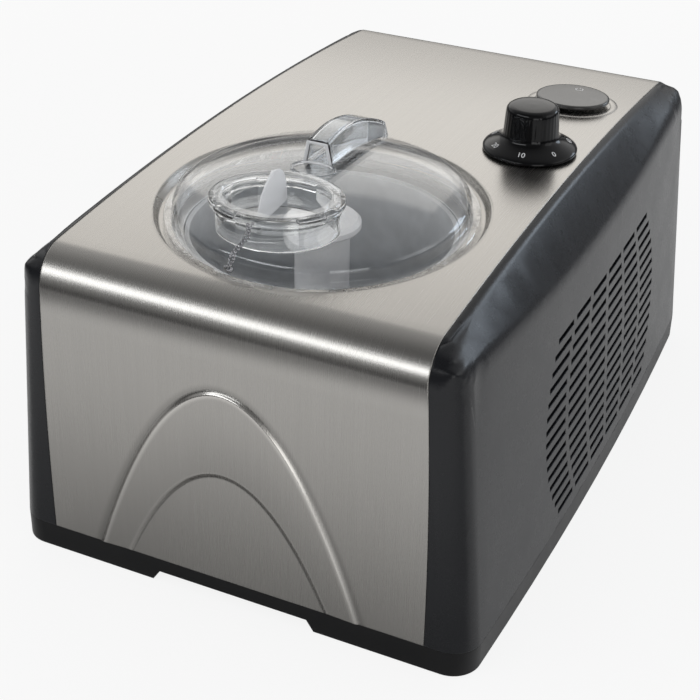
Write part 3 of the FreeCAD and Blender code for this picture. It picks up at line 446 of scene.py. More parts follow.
@dataclass(frozen=True)
class TurnedMetal(Finish):
    """Bare or plated metal with faint machining marks."""

    marks: float = 900.0
    spread: float = 0.12
    metal: float = 1.0

    def inputs(self, graph: Graph) -> Sockets:
        """Rings of marks, tarnish and soft edges.

        Args:
            graph: The material's graph.

        Returns:
            The shader's sockets.
        """
        stretched = {"Vector": graph.place(), "Scale": (60.0, 60.0, self.marks)}
        rings = graph.noise(1.0, 2.0, graph.make("ShaderNodeMapping", {}, stretched))
        dull = graph.noise(70.0, 3.0)
        colour = graph.mixed(dull.ramp(0.3, 0.75), scaled(self.tint, 0.88), scaled(self.tint, 1.05))
        rough = self.roughness + (rings - 0.5) * self.spread + (dull - 0.5) * 0.10
        normal = graph.bump(rings, 0.00002, 0.3, graph.soft_edges(self.edge))
        return {"Base Color": colour, "Metallic": self.metal, "Roughness": rough, "Normal": normal}


@dataclass(frozen=True)
class ClearMoulding(Finish):
    """Clear polished wall: gloss on a film that thickens at the rims."""

    haze: float = 0.01
    gain: float = 0.95
    mirror: float = 1.0

    def inputs(self, graph: Graph) -> Sockets:
        """Gloss by the angle of sight, with faint rubbing marks.

        Args:
            graph: The material's graph.

        Returns:
            The shader's sockets.
        """
        edge_on = graph.make("ShaderNodeLayerWeight", {}, {"Blend": 0.5}, "Facing")
        rub = graph.noise(220.0, 3.0)
        film = self.haze + 0.04 + edge_on ** 3.0 * self.gain + (rub - 0.5) * 0.01
        rough = self.roughness + (rub - 0.5) * 0.03
        return {"Base Color": scaled(self.tint), "Metallic": self.mirror, "Roughness": rough,
                "Alpha": film.at_most(1.0).at_least(0.0)}


@dataclass(frozen=True)
class ThickClear(Finish):
    """Clear moulding with walls thick enough to bend what is seen through them."""

    index: float = 1.49

    def inputs(self, graph: Graph) -> Sockets:
        """Bending walls with faint rubbing marks.

        Args:
            graph: The material's graph.

        Returns:
            The shader's sockets.
        """
        rub = graph.noise(220.0, 3.0)
        rough = self.roughness + (rub - 0.5) * 0.04
        return {"Base Color": scaled(self.tint), "Roughness": rough.at_least(0.0), "IOR": self.index,
                "Transmission Weight": 1.0}


@dataclass
class Assembly:
    """A group of pieces, modelled by operators one piece at a time."""

    materials: Mapping[Slot, Paint]

    def clear(self) -> None:
        """Leaves edit mode and deselects everything."""
        if bpy.context.object and bpy.context.object.mode != "OBJECT":
            bpy.ops.object.mode_set(mode="OBJECT")
        bpy.ops.object.select_all(action="DESELECT")

    def hold(self, piece: Piece) -> None:
        """Selects one piece alone and makes it active.

        Args:
            piece: The piece.
        """
        self.clear()
        piece.select_set(True)
        bpy.context.view_layer.objects.active = piece

    def begin(self, name: str) -> Piece:
        """Names the active object and opens it for editing.

        Args:
            name: The name.

        Returns:
            The object.
        """
        piece = bpy.context.object
        piece.name = name
        piece.data.name = name
        bpy.ops.object.mode_set(mode="EDIT")
        return piece

    def close(self, piece: Piece, angle: float = 35.0) -> Piece:
        """Merges doubles, turns faces outward and shades the piece.

        Args:
            piece: The active piece.
            angle: Edges up to this angle are smooth, in degrees.

        Returns:
            The piece, in object mode.
        """
        bpy.ops.object.mode_set(mode="EDIT")
        bpy.ops.mesh.select_all(action="SELECT")
        bpy.ops.mesh.remove_doubles(threshold=1e-6)
        bpy.ops.mesh.normals_make_consistent(inside=False)
        bpy.ops.object.mode_set(mode="OBJECT")
        self.smooth(piece, angle)
        return piece

    def smooth(self, piece: Piece, angle: float = 35.0) -> None:
        """Shades a piece smooth up to that angle in degrees."""
        self.hold(piece)
        bpy.ops.object.shade_smooth_by_angle(angle=math.radians(angle))

    def loft(self, name: str, rings: Sequence[Ring], sides: int = 72, looped: bool = False,
             angle: float = 35.0) -> Piece:
        """Draws a form out of one circle, ring by ring.

        Args:
            name: The piece's name.
            rings: Half-width in X, half-width in Y, height and, where the ring is off the axis, its shift
                along Y, in millimetres.
            sides: Vertices of a ring.
            looped: True where the last ring joins the first.
            angle: Edges up to this angle are smooth, in degrees.

        Returns:
            The piece about the origin.
        """
        self.clear()
        bpy.ops.mesh.primitive_circle_add(vertices=sides, radius=MM, fill_type="NOTHING")
        piece = self.begin(name)
        bpy.ops.mesh.select_all(action="SELECT")
        self._step((1.0, 1.0, 0.0), rings[0])
        for last, ring in zip(rings, rings[1:]):
            bpy.ops.mesh.extrude_edges_move()
            self._step(last, ring)
        if looped:
            self._bridge()
        return self.close(piece, angle)

    def spin(self, name: str, profile: Profile, sides: int = 96, looped: bool = False,
             angle: float = 35.0) -> Piece:
        """Draws a round form, as loft does, out of radii and heights."""
        rings = [(radius, radius, height) for radius, height in profile]
        return self.loft(name, rings, sides, looped, angle)

    def grid(self, name: str, columns: int, rows: int, place: Callable[[int, float], Vector]) -> Piece:
        """Adds a grid and lays its vertices in place.

        Args:
            name: The piece's name.
            columns: Faces across.
            rows: Faces along.
            place: The spot in millimetres for a row's number and a share across from -1 to 1.

        Returns:
            The piece, in object mode.
        """
        self.clear()
        bpy.ops.mesh.primitive_grid_add(x_subdivisions=columns, y_subdivisions=rows, size=2.0)
        piece = self.begin(name)
        bpy.ops.object.mode_set(mode="OBJECT")
        for vertex in piece.data.vertices:
            row = round((vertex.co.y + 1.0) / 2.0 * rows)
            vertex.co = place(row, vertex.co.x) * MM
        return piece

    def drop(self, piece: Piece, unwanted: Callable[[bmesh.types.BMFace], bool]) -> None:
        """Deletes faces.

        Args:
            piece: The piece in edit mode.
            unwanted: The test that picks the faces out.
        """
        mesh = bmesh.from_edit_mesh(piece.data)
        for face in mesh.faces:
            face.select = unwanted(face)
        bmesh.update_edit_mesh(piece.data)
        bpy.ops.mesh.delete(type="FACE")

    def _step(self, last: Ring, ring: Ring) -> None:
        """Scales and moves the selected ring of a loft.

        Args:
            last: The ring as it is.
            ring: The ring that it becomes.
        """
        before = last[3] if len(last) > 3 else 0.0
        after = ring[3] if len(ring) > 3 else 0.0
        bpy.ops.transform.resize(value=(ring[0] / last[0], ring[1] / last[1], 1.0),
                                 center_override=(0.0, before * MM, 0.0))
        bpy.ops.transform.translate(value=(0.0, (after - before) * MM, (ring[2] - last[2]) * MM))

    def twin(self, piece: Piece) -> Piece:
        """Copies a piece.

        Args:
            piece: The piece.

        Returns:
            The copy, with its own mesh.
        """
        copy = piece.copy()
        copy.data = piece.data.copy()
        bpy.context.scene.collection.objects.link(copy)
        return copy

    def _bridge(self) -> None:
        """Joins the first and the last ring of an open loft."""
        mesh = bmesh.from_edit_mesh(bpy.context.object.data)
        for edge in mesh.edges:
            edge.select = edge.is_boundary
        mesh.select_flush_mode()
        bmesh.update_edit_mesh(bpy.context.object.data)
        bpy.ops.mesh.bridge_edge_loops()

    def put(self, piece: Piece, place: Matrix) -> Piece:
        """Moves a finished mesh to its place and leaves its object at the origin.

        Args:
            piece: The piece about the origin.
            place: Where it goes, in metres.

        Returns:
            The piece.
        """
        self.hold(piece)
        piece.matrix_world = place @ piece.matrix_world
        bpy.ops.object.transform_apply(location=True, rotation=True, scale=True)
        return piece

    def join(self, pieces: Sequence[Piece], name: str) -> Piece:
        """Joins pieces into the first.

        Args:
            pieces: Finished meshes.
            name: The name of the result.

        Returns:
            The joined piece.
        """
        self.clear()
        for piece in pieces:
            piece.select_set(True)
        bpy.context.view_layer.objects.active = pieces[0]
        bpy.ops.object.join()
        pieces[0].name = name
        pieces[0].data.name = name
        return pieces[0]

    def apply(self, piece: Piece, kind: str, settings: Mapping[str, object]) -> None:
        """Adds a modifier and applies it.

        Args:
            piece: The piece.
            kind: The modifier's type.
            settings: Its settings.
        """
        self.hold(piece)
        modifier = piece.modifiers.new(kind.lower(), kind)
        for key, value in settings.items():
            setattr(modifier, key, value)
        bpy.ops.object.modifier_apply(modifier=modifier.name)

    def cut(self, piece: Piece, tool: Piece) -> None:
        """Cuts the tool out of the piece and removes the tool."""
        self.apply(piece, "BOOLEAN", {"operation": "DIFFERENCE", "object": tool, "solver": "EXACT"})
        bpy.data.objects.remove(tool, do_unlink=True)

    def dress(self, piece: Piece, slot: Slot, body: str, *nodes: str,
              paint: Paint | None = None) -> None:
        """Gives a piece its finish and its body, and hides the nodes that it stands for.

        Args:
            piece: The finished piece.
            slot: Its material slot.
            body: The body that it rides on.
            nodes: CAD nodes that it replaces.
            paint: A material of its own, in place of the slot's.
        """
        piece.data.materials.clear()
        piece.data.materials.append(paint if paint else self.materials[slot])
        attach(piece, body)
        if nodes:
            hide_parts(*nodes)
        LOG.info("%s: %d faces on %s", piece.name, len(piece.data.polygons), body)


def turned(x: float, y: float, z: float, about_x: float = 0.0, about_z: float = 0.0) -> Matrix:
    """A place in millimetres, turned about Z and then about X, in degrees."""
    tilt = Matrix.Rotation(math.radians(about_x), 4, "X") @ Matrix.Rotation(math.radians(about_z), 4, "Z")
    return Matrix.Translation(Vector((x, y, z)) * MM) @ tilt


def oval(half_x: float, half_y: float, offsets: Profile) -> list[Ring]:
    """Rings of an oval form, each offset from its half-widths, with its height."""
    return [(half_x + offset, half_y + offset, height) for offset, height in offsets]


def lid_seat() -> Matrix:
    """The lid's seat, which leans with the top."""
    return turned(0.0, BOWL_Y, 189.4, 2.1)


@dataclass
class SteelCover(Assembly):
    """Brushed sheet over the front, the top and the upper rear, with the pressed lid seat."""

    seat: Matrix = field(default_factory=lid_seat)
    peak: float = 196.0
    peak_y: float = -22.7
    radius: float = 2036.0
    foot: float = 16.3
    half_top: float = 107.0
    flare: float = 5.0
    knee: float = 174.7
    sheet: float = 1.0
    end: float = 202.5
    front_bend: float = 20.0
    front_bend_z: float = 169.66
    front_sweep: float = 85.45
    rear_bend: float = 16.0
    rear_bend_z: float = 169.14
    rear_sweep: float = 84.05
    rear_foot: float = 150.0
    flat_start: float = -184.09
    flat_length: float = 372.25
    wall_foot: float = 87.0
    wall_rise: float = 9.0
    wall_lean: float = 5.0 / 9.0
    edge_low: float = 8.0
    edge_split: float = 8.7
    band_thick: float = 0.6

    def top(self, y: float) -> float:
        """Height of the arched top at a place along the machine."""
        return self.peak - self.radius + math.sqrt(self.radius ** 2 - (y - self.peak_y) ** 2)

    def half(self, z: float) -> float:
        """Half-width of the sheet at a height."""
        share = min(1.0, max(0.0, (self.knee - z) / (self.knee - self.foot)))
        return self.half_top + self.flare * (1.0 - (1.0 - share) ** 2.14)

    def path(self) -> list[tuple[float, float]]:
        """The sheet's side view.

        Returns:
            Y and Z from the front foot to the rear edge.
        """
        rise = self.front_bend_z - self.foot
        line = [(-self.end, self.foot + rise * step / 14) for step in range(14)]
        line += self._bend(self.front_bend - self.end, self.front_bend_z, self.front_bend,
                           180.0, 180.0 - self.front_sweep, 16)
        for step in range(1, 60):
            y = self.flat_start + self.flat_length * step / 60
            line.append((y, self.top(y)))
        line += self._bend(self.end - self.rear_bend, self.rear_bend_z, self.rear_bend,
                           self.rear_sweep, 0.0, 12)
        return line + [(self.end, self.rear_foot + 10.0), (self.end, self.rear_foot)]

    @staticmethod
    def _bend(y: float, z: float, radius: float, start: float, end: float, steps: int) -> Profile:
        """Points of a bend in the side view, between two angles in degrees."""
        turns = [math.radians(start + (end - start) * step / steps) for step in range(steps + 1)]
        return [(y + radius * math.cos(turn), z + radius * math.sin(turn)) for turn in turns]

    def build(self) -> None:
        """Folds the sheet, cuts the seat's mouth and joins the pressed seat and the band to it."""
        line = self.path()

        def spot(row: int, share: float) -> Vector:
            """A vertex of the folded sheet."""
            y, z = line[row]
            return Vector((share * self.half(z), y, z))

        cover = self.close(self.grid("steel_sheet", 24, len(line) - 1, spot), 30.0)
        self.apply(cover, "SOLIDIFY", {"thickness": self.sheet * MM, "offset": -1.0})
        mouth = [(0.01, -4.0), (85.0, -4.0), (93.9, 12.0), (0.01, 12.0)]
        self.cut(cover, self.put(self.spin("seat_mouth", mouth, 128), self.seat))
        self.smooth(cover, 30.0)
        cover = self.join([cover, self._pressing(), self._arch_band()], "steel_cover")
        self.dress(cover, Slot.STEEL, "machine", "steel_wrap")

    def _arch_band(self) -> Piece:
        """Raises the band between the front's two arches.

        Returns:
            The band.
        """
        edges = [(INNER_ARCH, 1.1, -0.05), (INNER_ARCH, 0.0, 0.35), (INNER_ARCH, -0.9, 0.58),
                 (INNER_ARCH, -1.7, 0.68), (OUTER_ARCH, 2.2, 0.68), (OUTER_ARCH, 1.3, 0.60),
                 (OUTER_ARCH, 0.3, 0.35), (OUTER_ARCH, -1.1, -0.05)]

        def spot(row: int, share: float) -> Vector:
            """A vertex of the band."""
            arch, inset, rise = edges[row]
            return arch.spot(share, inset, self.foot, -self.end - rise)

        band = self.grid("arch_band", 120, len(edges) - 1, spot)
        self.apply(band, "SOLIDIFY", {"thickness": self.band_thick * MM, "offset": -1.0})
        return self.close(band, 30.0)

    def _pressing(self) -> Piece:
        """Presses the seat.

        Returns:
            Its ledge and its leaning wall, up to the sheet.
        """
        rings = [(80.0, -1.0), (80.0, -0.3), (80.3, 0.0), (86.1, 0.0), (86.9, 0.25), (87.4, 0.9), (92.0, 9.0),
                 (92.8, 8.4), (88.6, -1.0)]
        ring = self.spin("seat_pressing", rings, 128, True, 30.0)
        for vertex in ring.data.vertices:
            if vertex.co.z > self.edge_low * MM:
                self._raise(vertex)
        return self.put(ring, self.seat)

    def _raise(self, vertex: bpy.types.MeshVertex) -> None:
        """Brings the wall's edge to the sheet's surface.

        Args:
            vertex: A vertex of that edge.
        """
        under = vertex.co.z < self.edge_split * MM
        turn = math.atan2(vertex.co.y, vertex.co.x)
        low, high = 0.0, self.wall_rise
        for _ in range(24):
            middle = (low + high) / 2
            reach = self.wall_foot + middle * self.wall_lean
            spot = self.seat @ (Vector((reach * math.cos(turn), reach * math.sin(turn), middle)) * MM)
            if spot.z / MM < self.top(spot.y / MM):
                low = middle
            else:
                high = middle
        reach = self.wall_foot + low * self.wall_lean + (0.8 if under else 0.0)
        rise = low - (0.6 if under else 0.0)
        vertex.co = Vector((reach * math.cos(turn), reach * math.sin(turn), rise)) * MM


@dataclass
class SidePanels(Assembly):
    """Black side shells with their four top corners rounded."""

    nodes: Mapping[str, Piece]
    inner: float = 108.6
    reach: float = 166.0
    height: float = 156.0

    def build(self) -> None:
        """Rounds a copy of each packed shell and dresses it."""
        for side in ("left", "right"):
            shell = self.twin(self.nodes[f"{side}_side_panel"])
            self.hold(shell)
            bpy.ops.mesh.customdata_custom_splitnormals_clear()
            self.begin(f"{side}_shell")
            bpy.ops.mesh.select_all(action="SELECT")
            bpy.ops.mesh.remove_doubles(threshold=1e-6)
            self._pick(shell, 0.0)
            bpy.ops.mesh.subdivide(number_cuts=2)
            self._pick(shell, 5.0)
            bpy.ops.mesh.vertices_smooth(factor=0.5, repeat=40)
            self.close(shell, 38.0)
            self.dress(shell, Slot.PANEL, "machine", f"{side}_side_panel")

    def _pick(self, shell: Piece, inset: float) -> None:
        """Selects the vertices of the top corners.

        Args:
            shell: The shell in edit mode.
            inset: Distance by which the selection is smaller, in millimetres.
        """
        bpy.ops.mesh.select_all(action="DESELECT")
        bpy.ops.mesh.select_mode(type="VERT")
        mesh = bmesh.from_edit_mesh(shell.data)
        for vertex in mesh.verts:
            spot = vertex.co / MM
            vertex.select = (abs(spot.x) > self.inner and abs(spot.y) > self.reach + inset
                             and spot.z > self.height + inset)
        mesh.select_flush_mode()
        bmesh.update_edit_mesh(shell.data)


@dataclass
class LidSet(Assembly):
    """Clear lid with its collar, handle, filler cap and chain."""

    seat: Matrix = field(default_factory=lid_seat)
    dome_radius: float = 225.2
    dome_top: float = 26.0
    collar_long: float = 32.4
    collar_short: float = 25.7
    collar: Matrix = field(default_factory=lambda: turned(-5.5, -40.6, 0.0, 0.0, 12.0))
    grip_x: float = -5.0
    grip_front: float = 4.5
    grip_back: float = 79.0
    grip_low: float = 8.5
    grip_top: float = 6.0
    grip_wall: float = 1.7
    grip_round: float = 0.7
    trim_thick: float = 0.3
    fin_foot: float = 18.35
    fin_thick: float = 1.5
    fin_half: float = 17.0
    fin_tall: float = 21.5
    bead_pitch: float = 1.9

    def dome(self, radius: float, drop: float = 0.0) -> float:
        """Height of the dome at a radius, less a drop."""
        return self.dome_top - self.dome_radius + math.sqrt(self.dome_radius ** 2 - radius ** 2) - drop

    def build(self) -> None:
        """Builds and dresses every piece of the lid."""
        self._shell()
        self._grip()
        self._cap()
        self._chain()

    def _shell(self) -> None:
        """The domed shell with its flange, and the collar on it."""
        radii = [0.01, 8.0, 16.0, 24.0, 32.0, 40.0, 48.0, 56.0, 63.0, 69.0, 73.0]
        rim = [(75.5, 12.97), (77.2, 12.0), (78.5, 10.8), (79.2, 9.3), (79.5, 7.6), (79.5, 4.3), (79.9, 3.4),
               (81.0, 3.0), (83.9, 3.0), (84.5, 2.4), (84.5, 0.6), (83.9, 0.0), (79.3, 0.0), (79.3, -3.4),
               (78.8, -4.0), (77.8, -4.0), (77.3, -3.4), (77.3, 6.8), (76.8, 8.6), (75.6, 9.9)]
        outer = [(radius, self.dome(radius)) for radius in radii]
        inner = [(radius, self.dome(radius, 2.0)) for radius in reversed(radii)]
        shell = self.spin("lid_dome", outer + rim + inner, 128)
        mouth = [(0.01, 0.01, 4.0), (30.9, 24.2, 4.0), (30.9, 24.2, 40.0), (0.01, 0.01, 40.0)]
        self.cut(shell, self.put(self.loft("lid_mouth", mouth, 96), self.collar))
        self.smooth(shell)
        edge = [(0.0, 9.4), (0.0, 20.4), (0.9, 21.0), (0.9, 22.0), (0.0, 22.6), (0.0, 23.8), (0.4, 24.2),
                (2.4, 24.4), (3.0, 25.0), (3.0, 26.9), (2.4, 27.5), (-2.4, 27.5), (-3.0, 27.0), (-3.0, 9.6),
                (-2.6, 9.0), (-0.4, 9.0)]
        collar = self.loft("lid_collar", oval(self.collar_long, self.collar_short, edge), 96, True, 50.0)
        self.put(collar, self.seat @ self.collar)
        clear = ThickClear((0.97, 0.98, 0.98), 0.03).material("clear_wall")
        self.dress(collar, Slot.CLEAR, "lid_group", paint=clear)
        shell.name = "clear_dome"
        self.dress(self.put(shell, self.seat), Slot.CLEAR, "lid_group", "lid")

    def _grip_height(self, y: float) -> float:
        """Height of the grip's back, by a curve through four stations.

        Args:
            y: Place along the grip.

        Returns:
            The height over the seat.
        """
        stations = [(4.5, 38.0), (29.1, 39.0), (56.7, 31.6), (79.0, 20.5)]
        total = 0.0
        for index, (place, height) in enumerate(stations):
            weight = 1.0
            for other, (spot, _) in enumerate(stations):
                weight *= 1.0 if other == index else (y - spot) / (place - spot)
            total += weight * height
        return total

    def _grip(self) -> None:
        """The hollow bridge grip, open at its front, with a ring at its foot."""
        self.clear()
        bpy.ops.mesh.primitive_cube_add(size=1.0)
        grip = self.begin("lid_grip")
        for step in range(1, 16):
            bpy.ops.mesh.select_all(action="SELECT")
            bpy.ops.mesh.bisect(plane_co=(0.0, -0.5 + step / 16, 0.0), plane_no=(0.0, 1.0, 0.0))
        self.drop(grip, lambda face: face.normal.z < -0.5 or face.normal.y < -0.5)
        bpy.ops.object.mode_set(mode="OBJECT")
        for vertex in grip.data.vertices:
            self._grip_spot(vertex)
        self.close(grip, 30.0)
        wall = {"thickness": self.grip_wall * MM, "offset": -1.0, "use_even_offset": True}
        self.apply(grip, "SOLIDIFY", wall)
        rounding = {"width": self.grip_round * MM, "segments": 3, "limit_method": "ANGLE",
                    "angle_limit": math.radians(40.0)}
        self.apply(grip, "BEVEL", rounding)
        self.smooth(grip, 40.0)
        edge = [(0.0, 26.3), (0.5, 27.0), (1.4, 27.0), (2.0, 26.3), (1.4, 25.4), (0.5, 25.4)]
        foot = self.loft("grip_foot", oval(10.9, 6.9, edge), 64, True, 80.0)
        self.put(foot, turned(-4.0, -2.6, -0.4))
        grip = self.put(self.join([grip, foot], "clear_grip"), self.seat)
        smoky = ThickClear((0.74, 0.76, 0.78), 0.03).material("grip_wall")
        self.dress(grip, Slot.CLEAR, "lid_group", "lid_handle", paint=smoky)
        self._grip_trim(grip)

    def _grip_trim(self, grip: Piece) -> None:
        """Lays a thin frosted trim on the edge of the grip's open front.

        Args:
            grip: The finished grip.
        """
        trim = self.twin(grip)
        self.hold(trim)
        self.begin("grip_trim")
        ahead, foot_y = -0.6, -95.0 * MM
        self.drop(trim, lambda face: face.normal.y >= ahead or face.calc_center_median().y <= foot_y)
        self.close(trim)
        self.apply(trim, "SOLIDIFY", {"thickness": self.trim_thick * MM, "offset": 1.0})
        self.dress(trim, Slot.FROSTED, "lid_group")

    def _grip_spot(self, vertex: bpy.types.MeshVertex) -> None:
        """Shapes the grip.

        Args:
            vertex: A vertex of the divided cube, moved to its place.
        """
        y = self.grip_front + (vertex.co.y + 0.5) * (self.grip_back - self.grip_front)
        side = 1.0 if vertex.co.x > 0.0 else -1.0
        if vertex.co.z > 0.0:
            spot = Vector((self.grip_x + side * self.grip_top, y, self._grip_height(y)))
        else:
            x = self.grip_x + side * self.grip_low
            spot = Vector((x, y, self.dome(min(79.0, math.hypot(x, y)), 0.1)))
        vertex.co = spot * MM

    def _cap(self) -> None:
        """The oval filler cap: a clear pan with a rim, and a frosted finger fin."""
        edge = [(-9.0, 18.5), (-3.2, 18.5), (-1.8, 19.2), (-1.5, 20.4), (-1.5, 27.8), (-0.9, 28.9),
                (0.1, 29.1), (3.4, 29.1), (4.0, 28.6), (4.0, 28.0), (3.5, 27.5), (0.4, 27.5), (0.0, 27.0),
                (0.0, 18.6), (-0.9, 17.4), (-2.5, 17.0)]
        rings = [(0.02, 0.02, 18.5)] + oval(29.0, 22.3, edge) + [(0.02, 0.02, 17.0)]
        tray = self.put(self.loft("cap_pan", rings, 96), self.seat @ self.collar)
        self.dress(tray, Slot.CLEAR, "cap", "filler_cap")
        outline = [(0.0, 1.0, 1.0), (0.2, 0.98, 0.93), (0.4, 0.95, 0.82), (0.62, 0.88, 0.65),
                   (0.8, 0.75, 0.42), (0.92, 0.55, 0.18), (0.98, 0.33, 0.0), (1.0, 0.17, -0.14)]
        rings = [(0.02, 0.3, self.fin_foot - 0.05)]
        for share, rear, front in outline:
            thick = self.fin_thick * (1.0 - 0.35 * share ** 3)
            rings.append((thick, self.fin_half * (rear + front) / 2, self.fin_foot + self.fin_tall * share,
                          self.fin_half * (rear - front) / 2))
        rings.append((0.02, 0.05, self.fin_foot + 0.05 + self.fin_tall, 2.9))
        fin = self.loft("cap_fin", rings, 64, False, 50.0)
        self.put(fin, self.seat @ turned(-8.5, -40.6, 0.0))
        self.dress(fin, Slot.FROSTED, "cap")

    def _chain(self) -> None:
        """The bead chain, one bead modelled and copied along its line."""
        corners = [(-4.5, -70.8, 26.5), (-6.8, -71.4, 18.5), (-9.2, -79.8, 14.0), (-11.6, -82.0, 5.2)]
        line = [Vector(corner) for corner in corners]
        spots: list[Vector] = []
        for start, end in zip(line, line[1:]):
            count = max(2, round((end - start).length / self.bead_pitch))
            spots += [start.lerp(end, step / count) for step in range(count)]
        ball = [(0.05, -0.9), (0.5, -0.75), (0.85, -0.4), (0.95, 0.0), (0.85, 0.4), (0.5, 0.75), (0.05, 0.9)]
        bead = self.spin("bead", ball, 8, False, 80.0)
        places = []
        for index, spot in enumerate(spots):
            for side in (-1.0, 1.0):
                sway = 0.5 * math.sin(1.7 * index + side)
                places.append(turned(spot.x + side + 0.4 * sway, spot.y + 0.3 * sway, spot.z + 0.45 * side))
        hook = line[-1]
        for index in range(8):
            angle = 0.8 * index
            places.append(turned(hook.x + 1.9 * math.cos(angle), hook.y + 0.5 * math.sin(2.0 * angle),
                                 hook.z + 1.3 * math.sin(angle) + 0.4))
        pieces = [self.put(self.twin(bead), place) for place in places]
        bpy.data.objects.remove(bead, do_unlink=True)
        chain = self.put(self.join(pieces, "bead_chain"), self.seat)
        self.dress(chain, Slot.CHROME, "lid_group", "cap_chain")


@dataclass
class TimerKnob(Assembly):
    """Tall fluted knob on a flared skirt, with its dial numbers."""

    x: float = 75.0
    y: float = 22.7
    z: float = 195.7
    flutes: int = 36
    flute_depth: float = 0.22
    flute_low: float = 9.0
    flute_high: float = 25.4
    flute_core: float = 13.0
    number_size: float = 4.7
    number_start: float = -34.0
    number_step: float = -50.0
    number_lean: float = 27.0
    number_spot: Point = (0.0, -22.3, 5.35)

    def build(self) -> None:
        """Builds the knob and its numbers."""
        profile = [(0.05, 0.8), (26.4, 0.8), (27.0, 1.2), (27.0, 2.0), (26.6, 2.7), (25.4, 3.5), (24.0, 4.3),
                   (21.0, 5.7), (18.4, 7.1), (16.8, 8.4), (16.0, 9.8), (15.8, 11.5), (15.6, 15.0),
                   (15.3, 20.0), (15.1, 23.6), (14.8, 24.9), (14.1, 26.0), (13.0, 26.7), (11.0, 27.0),
                   (6.0, 27.2), (0.05, 27.3)]
        knob = self.spin("knob_grip", profile, 144, False, 40.0)
        for vertex in knob.data.vertices:
            self._flute(vertex)
        self.put(knob, turned(self.x, self.y, self.z))
        self.dress(knob, Slot.KNOB, "timer", "timer_knob")
        self._numbers()

    def _flute(self, vertex: bpy.types.MeshVertex) -> None:
        """Presses the flutes into the grip's side.

        Args:
            vertex: A vertex of the knob.
        """
        spot = vertex.co
        below = min(1.0, max(0.0, (spot.z / MM - self.flute_low) / 3.0))
        above = min(1.0, max(0.0, (self.flute_high - spot.z / MM) / 1.5))
        share = below * above
        if share <= 0.0 or math.hypot(spot.x, spot.y) < self.flute_core * MM:
            return
        turn = math.atan2(spot.y, spot.x)
        press = share * self.flute_depth * MM * 0.5 * (1.0 - math.cos(self.flutes * turn))
        spot.x -= press * math.cos(turn)
        spot.y -= press * math.sin(turn)

    def _numbers(self) -> None:
        """White numbers on the skirt's slope, in steps of ten."""
        slope = turned(*self.number_spot, self.number_lean)
        marks = []
        for index, text in enumerate(("0", "10", "20", "30", "40", "50", "60")):
            angle = self.number_start + self.number_step * index
            self.clear()
            bpy.ops.object.text_add()
            words = bpy.context.object.data
            words.body = text
            words.size = self.number_size * MM
            words.align_x = words.align_y = "CENTER"
            words.extrude = 0.00005
            bpy.ops.object.convert(target="MESH")
            dial = turned(self.x, self.y, self.z, 0.0, angle + 90.0)
            marks.append(self.put(bpy.context.object, dial @ slope))
        numbers = self.join(marks, "knob_numbers")
        self.dress(numbers, Slot.WHITE, "timer")


@dataclass
class PowerButton(Assembly):
    """Flat round button with a plain power symbol, in a pressed ring."""

    place: Matrix = field(default_factory=lambda: turned(72.0, 111.5, 191.6, -3.78))

    def build(self) -> None:
        """Builds the button, its ring and the symbol."""
        profile = [(0.05, -20.0), (3.6, -20.0), (4.0, -19.6), (4.0, 4.6), (7.4, 4.6), (7.4, 2.4), (21.6, 2.4),
                   (22.4, 2.8), (22.6, 3.4), (22.6, 4.1), (22.3, 4.6), (21.6, 4.95), (20.6, 5.0), (10.0, 5.0),
                   (0.05, 5.0)]
        disc = self.put(self.spin("button_disc", profile), self.place)
        self.dress(disc, Slot.BUTTON, "button", "power_button")
        ring = [(23.4, 0.0), (23.4, 0.25), (24.0, 0.5), (25.2, 0.58), (26.6, 0.46), (27.5, 0.28), (28.0, 0.0)]
        bezel = self.put(self.spin("button_ring", ring, 96, True, 60.0), self.place)
        self.dress(bezel, Slot.STEEL, "machine", "button_bezel")
        self._symbol()

    def _symbol(self) -> None:
        """A broken ring with a bar, towards the rear of the disc."""
        low, high = 4.98, 5.04
        loop = self.spin("symbol_ring", [(2.0, low), (2.0, high), (2.5, high), (2.5, low)], 48, True)
        bpy.ops.object.mode_set(mode="EDIT")
        self.drop(loop, self._in_gap)
        bpy.ops.object.mode_set(mode="OBJECT")
        rings = [(0.05, 0.05, low), (0.27, 1.2, low), (0.27, 1.2, high), (0.05, 0.05, high)]
        bar = self.loft("symbol_bar", rings, 12)
        self.put(bar, turned(0.0, 2.1, 0.0))
        symbol = self.join([loop, bar], "button_symbol")
        self.put(symbol, self.place @ turned(0.0, 13.0, 0.0))
        self.dress(symbol, Slot.WHITE, "button")

    @staticmethod
    def _in_gap(face: bmesh.types.BMFace) -> bool:
        """Whether a face of the ring lies in the gap for the bar."""
        spot = face.calc_center_median()
        return spot.y > 0.0 and abs(spot.x) < 1.0 * MM


